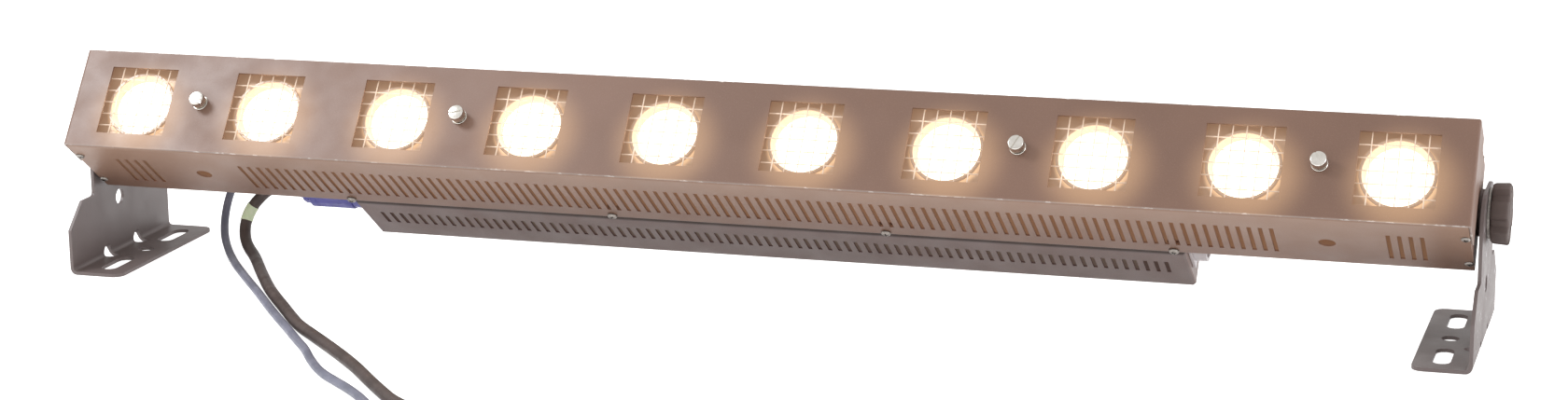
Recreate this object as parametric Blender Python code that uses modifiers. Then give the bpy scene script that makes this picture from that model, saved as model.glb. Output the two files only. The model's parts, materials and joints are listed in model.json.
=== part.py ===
"""Retro lamp bar: ten low-voltage reflector lamps in a tilted sheet-metal batten on two swivel brackets.

Metres, +Z up, +X along the bar. The origin is on the floor, under the middle of the tilt axis.
Pieces of the bar are placed in the axes of its front face: x along the bar, y backwards into the
bar, z up the face. Run in Blender 4.5 with --background --python part.py or from its text editor.
"""

import math

import bmesh
import bpy
from mathutils import Matrix, Vector

MM = 0.001

# General gaps
TOUCH = 0.3 * MM              # between faces that rest on each other
RUN = 0.3 * MM                # round a shank or a spigot in its hole
MERGE = 0.00005               # merge distance of the turned shapes

# Bar
BAR_HEIGHT = 76 * MM
BAR_DEPTH = 74 * MM
TILT = math.radians(36.75)    # lean of the front face from upright
SHEET = 1.5 * MM
FOLD_RADIUS = 2.0 * MM
EDGE_ROUND = 0.35 * MM
LIP = 5 * MM                  # fold behind the front panel
END_FLANGE = 30 * MM          # front panel folded back over the ends

# Lamps and their windows
LAMP_COUNT = 10
LAMP_PITCH = 100 * MM
LAMP_END = 50 * MM            # last lamp to the end of the bar
LAMP_DROP = 1.0 * MM          # below the middle of the face
WINDOW = 52.5 * MM
LAMP_FRONT = 6 * MM           # behind the front face
LAMP_RADIUS = 25.35 * MM
LAMP_NECK = 9.5 * MM
LAMP_BOWL = 29.5 * MM         # front glass to neck
LAMP_LENGTH = 41 * MM
LAMP_CLEAR = 1.2 * MM         # between the bowl and its hole in the tray
HOLDER = (17 * MM, 12 * MM, 13 * MM)
HOLDER_POST = 9 * MM

# Guard strip behind the windows
GUARD_SHEET = 0.8 * MM
GUARD_INSET = 5.6 * MM        # edge of the bar to the edge of the strip
GUARD_BAND = 10 * MM          # edge of the bar to an opening

# Lamp tray
TRAY_DEPTH = 9.0 * MM
TRAY_SHEET = 1.2 * MM
TRAY_HOLE = 23.9 * MM
TRAY_FLANGE = 12 * MM

# Vent slots
SLOT_PITCH = 7.33 * MM
SLOT_WIDTH = 2.9 * MM
SLOT_CLEAR = 30 * MM          # middle of a rigging hole to the main row
MAIN_SLOT_LENGTH = 38 * MM
MAIN_SLOT_DEPTH = 41.2 * MM   # middle of a slot, from the front face
END_SLOTS = 4
END_SLOT_INSET = 54.5 * MM    # first of them, from the end of the bar
COVER_SLOT_MARGIN = 11 * MM
COVER_SLOT_LENGTH = 18 * MM
COVER_SLOT_DEPTH = 110.5 * MM
RIG_HOLE = 5.8 * MM
RIG_HOLE_INSET = 95 * MM
RIG_HOLE_DEPTH = 40.5 * MM

# Thumb screws of the front panel
THUMB_AFTER_LAMP = (1, 3, 7, 9)
THUMB_HEAD = 5.3 * MM
THUMB_HEAD_HEIGHT = 6.2 * MM
THUMB_CHAMFER = 0.6 * MM
THUMB_NECK = 3.6 * MM
THUMB_NECK_HEIGHT = 1.8 * MM
THUMB_COLLAR = 5.6 * MM
THUMB_COLLAR_HEIGHT = 1.0 * MM
THUMB_SHANK = 2.0 * MM
THUMB_REACH = 13 * MM
THUMB_HOLE = 2.5 * MM

# Electronics housing behind the bar
COVER_LENGTH = 610 * MM
COVER_INSET = 4 * MM          # its floor, above the vent face
COVER_BACK = 142 * MM         # its back, from the front face
COVER_ROUND = 1.8 * MM
COVER_TAB = (9 * MM, 10 * MM)   # width, reach
COVER_SCREW_COUNT = 4
COVER_SCREW_INSET = 5 * MM    # outer screws, from the ends of the cover
COVER_SCREW_DEPTH = 69.5 * MM
SCREW_HEAD = 3.6 * MM
SCREW_HEAD_HEIGHT = 2.2 * MM
SCREW_SHANK = 1.9 * MM
BOARD_MARGIN = 35 * MM        # at each end of the cover
BOARD_WIDTH = 50 * MM
BOARD_THICK = 1.6 * MM
BOARD_LEG = 4.5 * MM
LEG_COUNT = 4
LEG_SIDE = 5 * MM
LEG_INSET = 5 * MM            # from the edges of the board
MODULE = (32 * MM, 27 * MM, 19 * MM)
MODULE_X = (-190 * MM, 155 * MM, 205 * MM)
HEATSINK = (200 * MM, 26 * MM, 24 * MM)
HEATSINK_FINS = 6

# Sockets in the ends of the electronics housing, from the middle of its front edge
MAINS_RISE = -15 * MM
DATA_RISE = 15 * MM
SOCKET_DEPTH = 108 * MM
SOCKET_FLANGE = (26 * MM, 28 * MM, 2 * MM)
SOCKET_BEZEL = 11 * MM        # stands off the end face
MAINS_SOCKET = 13 * MM
MAINS_BORE = 10.6 * MM
DATA_SOCKET = 11 * MM
DATA_BORE = 8.2 * MM
BORE_LENGTH = 22 * MM
SOCKET_BODY = 14 * MM         # inside the housing
SOCKET_STEP = 1 * MM          # bezel to body

# Swivel axis and brackets
AXIS_DEPTH = 71 * MM          # from the front face
AXIS_RISE = 3 * MM            # above the middle of the face
AXIS_HEIGHT = 89.8 * MM       # above the floor
EAR_RADIUS = 16 * MM
CAP_SHEET = 2.0 * MM
CAP_TAB = 12 * MM
BOLT = 4.0 * MM
BOLT_REACH = 3 * MM           # past the sheet of the end cap, into its nut
NUT_RADIUS = 7.5 * MM
NUT_THICK = 5 * MM
DISC_RADIUS = 16 * MM
DISC_GAP = 3.2 * MM           # end cap to bracket arm
PLATE = 2.5 * MM
BASE_HALF = 75 * MM
BASE_SIDE = 33 * MM
SHOULDER_HALF = 56 * MM
SHOULDER_HEIGHT = 51 * MM
ARM_HALF = 37.5 * MM
ARM_FILLET = 3 * MM
HEAD_RISE = 17.5 * MM         # top of the arm above the axis
HEAD_CORNER = 22 * MM
ARM_HOLE = 6.0 * MM
ARM_HOLE_HEIGHT = 41.8 * MM
FOOT_WIDTH = 40 * MM
FOOT_CORNER = 8 * MM
FOOT_BEND = 5 * MM
FOOT_HOLE = 6.0 * MM
FOOT_LINE = 21.9 * MM         # holes of the foot, from the outer face of the arm
FOOT_SLOT = (12 * MM, 37 * MM)
FOOT_SLOT_Y = 44 * MM
RELIEF_HOLE = 6.0 * MM
RELIEF_Y = 23 * MM
WASHER_RADIUS = 17 * MM
WASHER_THICK = 1.5 * MM
KNOB_RADIUS = 20.8 * MM
KNOB_SCALLOP = 2.6 * MM
KNOB_LOBES = 6
KNOB_THICK = 12 * MM

# Leads
MAINS_CORD = 8.5 * MM
DATA_CORD = 6.0 * MM
FLOOR_GAP = 0.3 * MM          # under a lead that lies on the floor
COIL_GAP = 0.7 * MM           # between the turns of a coil
LOOP_COUNT = 24               # points in a turn
MAINS_COIL = (-55 * MM, -403 * MM)
MAINS_COIL_RADIUS = 52.5 * MM
MAINS_COIL_START = math.radians(90)
MAINS_COIL_LAYER = 1.375      # turns in each layer
DATA_COIL = (-166 * MM, -403 * MM)
DATA_COIL_RADIUS = 39 * MM
DATA_COIL_START = math.radians(17.5)
DATA_COIL_LAYER = 1.875
COIL_CLIMB = 0.5              # turns from the lower layer to the upper one
MAINS_TAIL = 9 * MM
DATA_TAIL = 7 * MM
TWIST_BODY = 14 * MM
TWIST_LENGTH = 50 * MM
TWIST_NOSE = 18 * MM
TWIST_GLAND = 15 * MM
TWIST_CHAMFER = 3 * MM
TWIST_WALL = 2.2 * MM         # round the cord
DATA_BODY = 9.5 * MM
DATA_BODY_LENGTH = 52 * MM
DATA_NOSE = 12 * MM
DATA_BOOT = 18 * MM
DATA_CHAMFER = 4 * MM
DATA_WALL = 1 * MM
WALL_PLUG_FRONT = 18.3 * MM
WALL_PLUG_LENGTH = 58 * MM
WALL_PLUG_GRIP = 38 * MM      # cord to full width
WALL_PLUG_SLOPE = 6 * MM
WALL_PLUG_STEP = 3 * MM
WALL_PLUG_RELIEF = 20 * MM    # length of the strain relief
WALL_PLUG_CHAMFER = 1.5 * MM
WALL_PLUG_WALL = 1.2 * MM
WALL_PLUG_PIN = 2.4 * MM
WALL_PLUG_PIN_REACH = 19 * MM
WALL_PLUG_PIN_SPREAD = 9.5 * MM

# Hand-laid route of the mains lead on its way to the floor and out in front of the bar
MAINS_ROUTE = [
    (-382.4, 18.9, 51.4), (-389.7, 19.0, 47.4), (-396.2, 19.0, 41.7), (-401.1, 17.6, 35.5),
    (-404.0, 15.2, 29.0), (-404.7, 11.8, 22.7), (-403.3, 7.6, 16.9), (-399.9, 2.6, 12.1),
    (-394.9, -3.0, 8.8), (-389.5, -9.2, 7.2), (-384.6, -15.6, 6.1), (-380.0, -22.3, 5.4),
    (-371.5, -35.9, 4.8), (-363.0, -49.6, 4.6), (-354.5, -63.2, 4.6), (-341.5, -83.5, 4.6),
    (-327.8, -103.4, 4.6), (-308.6, -129.3, 4.6), (-277.1, -171.1, 4.6), (-255.0, -194.4, 4.6),
    (-233.5, -216.4, 4.6), (-213.6, -237.4, 4.6), (-194.2, -259.0, 4.6), (-174.6, -282.9, 4.6),
    (-155.4, -305.7, 4.6), (-138.5, -324.0, 4.6), (-118.0, -338.6, 4.6), (-94.0, -347.6, 4.6),
]

# Hand-laid route of the data lead beside it
DATA_ROUTE = [
    (-383.0, 36.8, 77.0), (-397.0, 36.8, 73.6), (-410.0, 36.4, 66.0), (-420.0, 35.4, 55.0),
    (-426.0, 33.2, 42.5), (-428.2, 29.0, 31.0), (-427.2, 22.4, 20.4), (-422.6, 13.0, 12.0),
    (-414.0, 0.5, 6.0), (-402.5, -16.0, 3.6), (-389.0, -35.3, 3.3), (-367.5, -64.4, 3.3),
    (-347.0, -91.5, 3.3), (-331.4, -112.7, 3.3), (-316.9, -132.5, 3.3), (-298.8, -156.5, 3.3),
    (-281.3, -179.0, 3.3), (-264.2, -201.7, 3.3), (-248.2, -222.4, 3.3), (-234.6, -243.0, 3.3),
    (-221.5, -261.1, 3.3), (-209.8, -274.5, 3.3), (-196.0, -287.2, 3.3), (-179.2, -302.5, 3.3),
    (-162.5, -320.2, 3.3), (-148.5, -338.0, 3.3), (-137.6, -356.5, 3.3),
]

# Places worked out from the sizes above
BAR_LENGTH = (LAMP_COUNT - 1) * LAMP_PITCH + 2 * LAMP_END
LAMPS_X = [(i - (LAMP_COUNT - 1) / 2) * LAMP_PITCH for i in range(LAMP_COUNT)]
THUMBS_X = [(i - LAMP_COUNT / 2) * LAMP_PITCH for i in THUMB_AFTER_LAMP]
RIG_HOLE_X = BAR_LENGTH / 2 - RIG_HOLE_INSET
MAIN_SLOTS = 2 * int((RIG_HOLE_X - SLOT_CLEAR) / SLOT_PITCH)
COVER_SLOTS = int((COVER_LENGTH - 2 * COVER_SLOT_MARGIN) / SLOT_PITCH)
COVER_SCREW_PITCH = (COVER_LENGTH - 2 * COVER_SCREW_INSET) / (COVER_SCREW_COUNT - 1)
COVER_SCREWS_X = [(i - (COVER_SCREW_COUNT - 1) / 2) * COVER_SCREW_PITCH for i in range(COVER_SCREW_COUNT)]
COVER_HALF = BAR_HEIGHT / 2 - COVER_INSET
COVER_FRONT = BAR_DEPTH + TOUCH
CHANNEL_END = BAR_LENGTH / 2 - SHEET - TOUCH
CHANNEL_FRONT = SHEET + TOUCH
CAP_INNER = CHANNEL_END - CAP_SHEET
ARM_INNER = CHANNEL_END + DISC_GAP
ARM_OUTER = ARM_INNER + PLATE
WASHER_INNER = ARM_OUTER + TOUCH
KNOB_INNER = WASHER_INNER + WASHER_THICK + TOUCH
BEHIND_LIP = CHANNEL_FRONT + SHEET + TOUCH
SOCKET_END = COVER_LENGTH / 2 + SOCKET_BEZEL
BOARD_UNDERSIDE = -COVER_HALF + SHEET + TOUCH + BOARD_LEG


# Scene set-up

def clear_scene():
    for obj in list(bpy.data.objects):
        bpy.data.objects.remove(obj, do_unlink=True)


def new_collection(name):
    collection = bpy.data.collections.new(name)
    bpy.context.scene.collection.children.link(collection)
    return collection


def new_material(name, colour, roughness, metallic=0.0):
    material = bpy.data.materials.new(name)
    material.use_nodes = True
    shader = material.node_tree.nodes["Principled BSDF"]
    shader.inputs["Base Color"].default_value = (*colour, 1.0)
    shader.inputs["Roughness"].default_value = roughness
    shader.inputs["Metallic"].default_value = metallic
    return material


clear_scene()
PARTS = new_collection("retro_lamp_bar")
CUTTERS = new_collection("cutters")

POWDER_COAT = new_material("powder_coat", (0.28, 0.21, 0.185), 0.5)
TRAY_STEEL = new_material("tray_steel", (0.55, 0.43, 0.33), 0.4, 0.6)
NICKEL = new_material("nickel", (0.78, 0.75, 0.70), 0.22, 1.0)
LAMP_GLASS = new_material("lamp_glass", (1.0, 0.86, 0.62), 0.15)
CERAMIC = new_material("ceramic", (0.82, 0.79, 0.72), 0.55)
BLACK_PLASTIC = new_material("black_plastic", (0.035, 0.033, 0.032), 0.5)
BLUE_PLASTIC = new_material("blue_plastic", (0.12, 0.13, 0.50), 0.45)
GREY_PLASTIC = new_material("grey_plastic", (0.72, 0.70, 0.70), 0.45)
BOARD_GREEN = new_material("board_green", (0.05, 0.22, 0.10), 0.5)
ALUMINIUM = new_material("aluminium", (0.70, 0.70, 0.72), 0.35, 1.0)
FRICTION = new_material("friction_disc", (0.10, 0.09, 0.08), 0.8)
BLACK_SHEATH = new_material("black_sheath", (0.05, 0.045, 0.04), 0.55)
GREY_SHEATH = new_material("grey_sheath", (0.33, 0.35, 0.42), 0.5)


# Objects and modifiers

def add_object(name, mesh, material=None, parent=None, location=(0, 0, 0), collection=None):
    obj = bpy.data.objects.new(name, mesh)
    (collection or PARTS).objects.link(obj)
    obj.parent = parent
    obj.location = location
    if material and not mesh.materials:
        mesh.materials.append(material)
    return obj


def mesh_from(bm, name):
    bmesh.ops.recalc_face_normals(bm, faces=bm.faces)
    mesh = bpy.data.meshes.new(name)
    bm.to_mesh(mesh)
    bm.free()
    return mesh


def smooth(obj):
    obj.data.shade_smooth()
    obj.data.set_sharp_from_angle(angle=math.radians(35))


def add_empty(name, parent=None, location=(0, 0, 0), rotation=(0, 0, 0)):
    empty = bpy.data.objects.new(name, None)
    PARTS.objects.link(empty)
    empty.parent = parent
    empty.location = location
    empty.rotation_euler = rotation
    return empty


def add_cutter(name, bm, parent, location=(0, 0, 0)):
    cutter = add_object(name, mesh_from(bm, name), parent=parent, location=location, collection=CUTTERS)
    cutter.hide_render = True
    cutter.display_type = "WIRE"
    return cutter


def boolean(obj, cutter, operation="DIFFERENCE"):
    modifier = obj.modifiers.new(cutter.name, "BOOLEAN")
    modifier.operation = operation
    modifier.solver = "EXACT"
    modifier.object = cutter


def solidify(obj, thickness):
    modifier = obj.modifiers.new("sheet", "SOLIDIFY")
    modifier.thickness = thickness
    modifier.offset = -1
    modifier.use_even_offset = True


def round_edges(obj, width, segments=1, angle=50):
    modifier = obj.modifiers.new("edges", "BEVEL")
    modifier.width = width
    modifier.segments = segments
    modifier.limit_method = "ANGLE"
    modifier.angle_limit = math.radians(angle)


# Shapes that are used for more than one piece

def put_box(bm, size, centre):
    place = Matrix.Translation(centre) @ Matrix.Diagonal((*size, 1.0))
    return bmesh.ops.create_cube(bm, size=1.0, matrix=place)["verts"]


def put_cylinder(bm, radius, length, centre, axis, segments=16):
    turn = Vector((0, 0, 1)).rotation_difference(Vector(axis)).to_matrix().to_4x4()
    bmesh.ops.create_cone(bm, cap_ends=True, segments=segments, radius1=radius, radius2=radius,
                          depth=length, matrix=Matrix.Translation(centre) @ turn)


def bent_sheet(name, path, width, thickness, material, parent=None, location=(0, 0, 0)):
    """An open path along the outer side of a folded sheet, drawn out along `width`."""
    bm = bmesh.new()
    verts = [bm.verts.new(point) for point in path]
    edges = [bm.edges.new(pair) for pair in zip(verts, verts[1:])]
    drawn = bmesh.ops.extrude_edge_only(bm, edges=edges)["geom"]
    moved = [item for item in drawn if isinstance(item, bmesh.types.BMVert)]
    bmesh.ops.translate(bm, verts=moved, vec=width)
    mesh = bpy.data.meshes.new(name)
    for face in bm.faces:
        face.normal_update()
    middle = sum((v.co for v in bm.verts), Vector()) / len(bm.verts)
    biggest = max(bm.faces, key=lambda f: f.calc_area())
    if (biggest.calc_center_median() - middle).dot(biggest.normal) < 0:
        bmesh.ops.reverse_faces(bm, faces=bm.faces)
    bm.to_mesh(mesh)
    bm.free()
    obj = add_object(name, mesh, material, parent, location)
    solidify(obj, thickness)
    return obj


def fillet(corner, before, after, radius, steps=3):
    """Points of the arc that rounds `corner` between two straight runs."""
    corner, before, after = Vector(corner), Vector(before), Vector(after)
    a = (before - corner).normalized()
    b = (after - corner).normalized()
    half = a.angle(b) / 2
    centre = corner + (a + b).normalized() * (radius / math.sin(half))
    first = corner + a * (radius / math.tan(half))
    sweep = math.pi - 2 * half
    turn = (first - centre).cross(-a).normalized()
    return [centre + Matrix.Rotation(sweep * i / steps, 3, turn) @ (first - centre)
            for i in range(steps + 1)]


def rounded_path(points, radius, steps=3):
    """A path with every inner corner rounded."""
    path = [Vector(points[0])]
    for before, corner, after in zip(points, points[1:], points[2:]):
        path += fillet(corner, before, after, radius, steps)
    path.append(Vector(points[-1]))
    return path


def turned(name, profile, material, parent=None, location=(0, 0, 0), rotation=(0, 0, 0), steps=16):
    """A solid turned round its own z from (radius, height) points that run down its outer side."""
    bm = bmesh.new()
    verts = [bm.verts.new((radius, 0, height)) for radius, height in profile]
    for pair in zip(verts, verts[1:]):
        bm.edges.new(pair)
    if profile[0][0] > MERGE:
        bm.edges.new((verts[-1], verts[0]))
    mesh = bpy.data.meshes.new(name)
    bm.to_mesh(mesh)
    bm.free()
    obj = add_object(name, mesh, material, parent, location)
    obj.rotation_euler = rotation
    screw = obj.modifiers.new("turned", "SCREW")
    screw.axis = "Z"
    screw.steps = steps
    screw.render_steps = steps
    screw.use_merge_vertices = True
    screw.merge_threshold = MERGE
    screw.use_normal_calculate = False
    return obj


def prism(bm, outline, thickness, place):
    """A closed outline in x and y, drawn out along z and put in place."""
    verts = [bm.verts.new((x, y, -thickness / 2)) for x, y in outline]
    face = bm.faces.new(verts)
    drawn = bmesh.ops.extrude_face_region(bm, geom=[face])["geom"]
    moved = [item for item in drawn if isinstance(item, bmesh.types.BMVert)]
    bmesh.ops.translate(bm, verts=moved, vec=(0, 0, thickness))
    bmesh.ops.transform(bm, matrix=place, verts=verts + moved)


# Axes of the bar

bar_axis = add_empty("bar_axis", location=(0, 0, AXIS_HEIGHT), rotation=(-TILT, 0, 0))
bar_face = add_empty("bar_face", parent=bar_axis, location=(0, -AXIS_DEPTH, -AXIS_RISE))


def to_world(point):
    """World place of a point given from the middle of the front face."""
    local = Vector(point) - Vector((0, AXIS_DEPTH, AXIS_RISE))
    return Matrix.Rotation(-TILT, 3, "X") @ local + Vector((0, 0, AXIS_HEIGHT))


# Housing channel: one folded sheet, open in front, with the vents in its lower side

def slot_row(bm, first, count, length, depth, z, thickness):
    for i in range(count):
        x = first + i * SLOT_PITCH
        put_box(bm, (SLOT_WIDTH, length, thickness), (x, depth, z))


def make_channel():
    half = BAR_HEIGHT / 2
    front, back = CHANNEL_FRONT, BAR_DEPTH
    corners = [(0, front, half - LIP), (0, front, half), (0, back, half),
               (0, back, -half), (0, front, -half), (0, front, LIP - half)]
    path = [point - Vector((CHANNEL_END, 0, 0)) for point in rounded_path(corners, FOLD_RADIUS)]
    channel = bent_sheet("housing_channel", path, (2 * CHANNEL_END, 0, 0), SHEET, POWDER_COAT, bar_face)
    cut = bmesh.new()
    deep = 4 * SHEET
    floor = -half + SHEET / 2
    end_slot = BAR_LENGTH / 2 - END_SLOT_INSET
    rows = (
        (-(MAIN_SLOTS - 1) / 2 * SLOT_PITCH, MAIN_SLOTS),
        (end_slot, END_SLOTS),
        (-end_slot - (END_SLOTS - 1) * SLOT_PITCH, END_SLOTS),
    )
    for first, count in rows:
        slot_row(cut, first, count, MAIN_SLOT_LENGTH, MAIN_SLOT_DEPTH, floor, deep)
    for side in (-1, 1):
        put_cylinder(cut, RIG_HOLE, deep, (side * RIG_HOLE_X, RIG_HOLE_DEPTH, floor), (0, 0, 1))
        ear = 2 * (EAR_RADIUS + RUN)
        reach = CAP_SHEET + NUT_THICK + TOUCH
        put_box(cut, (2 * reach, deep, ear), (side * CHANNEL_END, BAR_DEPTH - SHEET / 2, AXIS_RISE))
    for x in COVER_SCREWS_X:
        put_cylinder(cut, SCREW_SHANK + RUN, deep, (x, COVER_SCREW_DEPTH, floor), (0, 0, 1), 12)
        for side in (-1, 1):
            width, thick = COVER_TAB[0] + 2 * RUN, SHEET + 2 * RUN
            middle = side * (COVER_HALF - SHEET / 2)
            put_box(cut, (width, deep, thick), (x, BAR_DEPTH - SHEET / 2, middle))
    boolean(channel, add_cutter("channel_cuts", cut, bar_face))


# Front panel with its ten windows, and the guard strip behind them

def make_front_panel():
    half, end = BAR_HEIGHT / 2, BAR_LENGTH / 2
    corners = [(-end, END_FLANGE, -half), (-end, 0, -half), (end, 0, -half), (end, END_FLANGE, -half)]
    path = rounded_path(corners, FOLD_RADIUS)
    panel = bent_sheet("front_panel", path, (0, 0, BAR_HEIGHT), SHEET, POWDER_COAT, bar_face)
    round_edges(panel, EDGE_ROUND)
    cut = bmesh.new()
    for x in LAMPS_X:
        put_box(cut, (WINDOW, 4 * SHEET, WINDOW), (x, SHEET / 2, -LAMP_DROP))
    for x in THUMBS_X:
        put_cylinder(cut, THUMB_HOLE, 4 * SHEET, (x, SHEET / 2, 0), (0, 1, 0), 12)
    boolean(panel, add_cutter("panel_cuts", cut, bar_face))


def make_guard_strip():
    length = 2 * (CAP_INNER - TOUCH)
    opening = BAR_HEIGHT - 2 * GUARD_BAND
    bm = bmesh.new()
    middle = (0, CHANNEL_FRONT + GUARD_SHEET / 2, 0)
    put_box(bm, (length, GUARD_SHEET, BAR_HEIGHT - 2 * GUARD_INSET), middle)
    strip = add_object("guard_strip", mesh_from(bm, "guard_strip"), TRAY_STEEL, bar_face)
    cut = bmesh.new()
    for x in LAMPS_X:
        put_box(cut, (opening, 4 * GUARD_SHEET, opening), (x, middle[1], -LAMP_DROP))
    for x in THUMBS_X:
        put_cylinder(cut, THUMB_HOLE, 4 * GUARD_SHEET, (x, middle[1], 0), (0, 1, 0), 12)
    boolean(strip, add_cutter("guard_cuts", cut, bar_face))


# Lamp tray: carries the lamp rims, and has the nuts of the thumb screws

def make_lamp_tray():
    half = BAR_HEIGHT / 2 - SHEET - TOUCH
    front = TRAY_DEPTH
    back = front + TRAY_FLANGE
    end = CAP_INNER - TOUCH
    corners = [(-end, back, half), (-end, front, half), (-end, front, -half), (-end, back, -half)]
    tray = bent_sheet("lamp_tray", rounded_path(corners, FOLD_RADIUS), (2 * end, 0, 0), TRAY_SHEET,
                      TRAY_STEEL, bar_face)
    cut = bmesh.new()
    for x in LAMPS_X:
        put_cylinder(cut, TRAY_HOLE, 4 * TRAY_SHEET, (x, front, -LAMP_DROP), (0, 1, 0))
    for x in THUMBS_X:
        put_cylinder(cut, THUMB_SHANK + RUN, 4 * TRAY_SHEET, (x, front, 0), (0, 1, 0), 12)
    boolean(tray, add_cutter("tray_cuts", cut, bar_face))


# Lamps and lampholders

def lamp_profile():
    """Half outline of a reflector lamp with its front glass, from the glass to the base."""
    rim_back = TRAY_DEPTH - LAMP_FRONT - TOUCH
    dish = [(0, 0), (LAMP_RADIUS, 0), (LAMP_RADIUS, rim_back)]
    shoulder = TRAY_HOLE - LAMP_CLEAR
    steps = 3
    for i in range(steps + 1):
        angle = math.pi / 2 * i / steps
        radius = LAMP_NECK + (shoulder - LAMP_NECK) * math.cos(angle)
        depth = rim_back + (LAMP_BOWL - rim_back) * math.sin(angle)
        dish.append((radius, depth))
    return dish + [(LAMP_NECK, LAMP_LENGTH), (0, LAMP_LENGTH)]


def make_lamp(number, x):
    profile = [(radius, -depth) for radius, depth in lamp_profile()]
    place = (x, LAMP_FRONT, -LAMP_DROP)
    turned(f"lamp_{number:02d}", profile, LAMP_GLASS, bar_face, place, (math.pi / 2, 0, 0))


def make_lampholder(number, x):
    front = LAMP_FRONT + LAMP_LENGTH + TOUCH
    back = BAR_DEPTH - SHEET - TOUCH
    width, height, depth = HOLDER
    bm = bmesh.new()
    put_box(bm, (width, depth, height), (x, front + depth / 2, -LAMP_DROP))
    for face in bm.faces:
        face.normal_update()
    rear = [face for face in bm.faces if face.normal.y > 0.9]
    bmesh.ops.inset_region(bm, faces=rear, thickness=(height - HOLDER_POST) / 2)
    post = bmesh.ops.extrude_face_region(bm, geom=rear)["geom"]
    moved = [item for item in post if isinstance(item, bmesh.types.BMVert)]
    bmesh.ops.translate(bm, verts=moved, vec=(0, back - front - depth, 0))
    bmesh.ops.delete(bm, geom=rear, context="FACES")
    name = f"lampholder_{number:02d}"
    add_object(name, mesh_from(bm, name), CERAMIC, bar_face)


# Thumb screws

def make_thumb_screw(number, x):
    collar = THUMB_COLLAR_HEIGHT
    neck = collar + THUMB_NECK_HEIGHT
    head = neck + THUMB_HEAD_HEIGHT
    profile = [
        (0, head), (THUMB_HEAD - THUMB_CHAMFER, head), (THUMB_HEAD, head - THUMB_CHAMFER), (THUMB_HEAD, neck),
        (THUMB_NECK, neck), (THUMB_NECK, collar), (THUMB_COLLAR, collar), (THUMB_COLLAR, 0),
        (THUMB_SHANK, 0), (THUMB_SHANK, -THUMB_REACH), (0, -THUMB_REACH),
    ]
    turned(f"thumb_screw_{number}", profile, NICKEL, bar_face, (x, -TOUCH, 0), (math.pi / 2, 0, 0), 12)


# End caps with the ears that carry the swivel bolts

def make_end_cap(side):
    name = "right_end_cap" if side > 0 else "left_end_cap"
    half = BAR_HEIGHT / 2 - SHEET - TOUCH
    front, back = BEHIND_LIP, BAR_DEPTH - SHEET - TOUCH
    plate = [(front, -half), (back, -half), (back, AXIS_RISE - EAR_RADIUS)]
    for i in range(1, 12):
        angle = -math.pi / 2 + math.pi * i / 12
        plate.append((AXIS_DEPTH + EAR_RADIUS * math.cos(angle), AXIS_RISE + EAR_RADIUS * math.sin(angle)))
    plate += [(back, AXIS_RISE + EAR_RADIUS), (back, half), (front, half)]
    turn = Matrix(((0, 0, 1, 0), (1, 0, 0, 0), (0, 1, 0, 0), (0, 0, 0, 1)))
    bm = bmesh.new()
    prism(bm, plate, CAP_SHEET, Matrix.Translation((side * (CHANNEL_END - CAP_SHEET / 2), 0, 0)) @ turn)
    cap = add_object(name, mesh_from(bm, name), POWDER_COAT, bar_face)
    centre = (side * CHANNEL_END, AXIS_DEPTH, AXIS_RISE)
    tabs = bmesh.new()
    nut = (side * (CAP_INNER - NUT_THICK / 2 + CAP_SHEET / 4), AXIS_DEPTH, AXIS_RISE)
    put_cylinder(tabs, NUT_RADIUS, NUT_THICK + CAP_SHEET / 2, nut, (1, 0, 0))
    tab_front, tab_back = TRAY_DEPTH + TRAY_FLANGE + 2 * TOUCH, back - 2 * FOLD_RADIUS
    for rise in (-1, 1):
        size = (CAP_TAB, tab_back - tab_front, SHEET)
        reach = side * (CHANNEL_END - CAP_TAB / 2 - CAP_SHEET / 4)
        put_box(tabs, size, (reach, (tab_front + tab_back) / 2, rise * (half - SHEET / 2)))
    boolean(cap, add_cutter(name + "_tabs", tabs, bar_face), "UNION")
    hole = bmesh.new()
    put_cylinder(hole, BOLT + RUN, 4 * (CAP_SHEET + NUT_THICK), centre, (1, 0, 0))
    boolean(cap, add_cutter(name + "_hole", hole, bar_face))


# Electronics housing with its cut-outs, tabs and fixing screws

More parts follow.
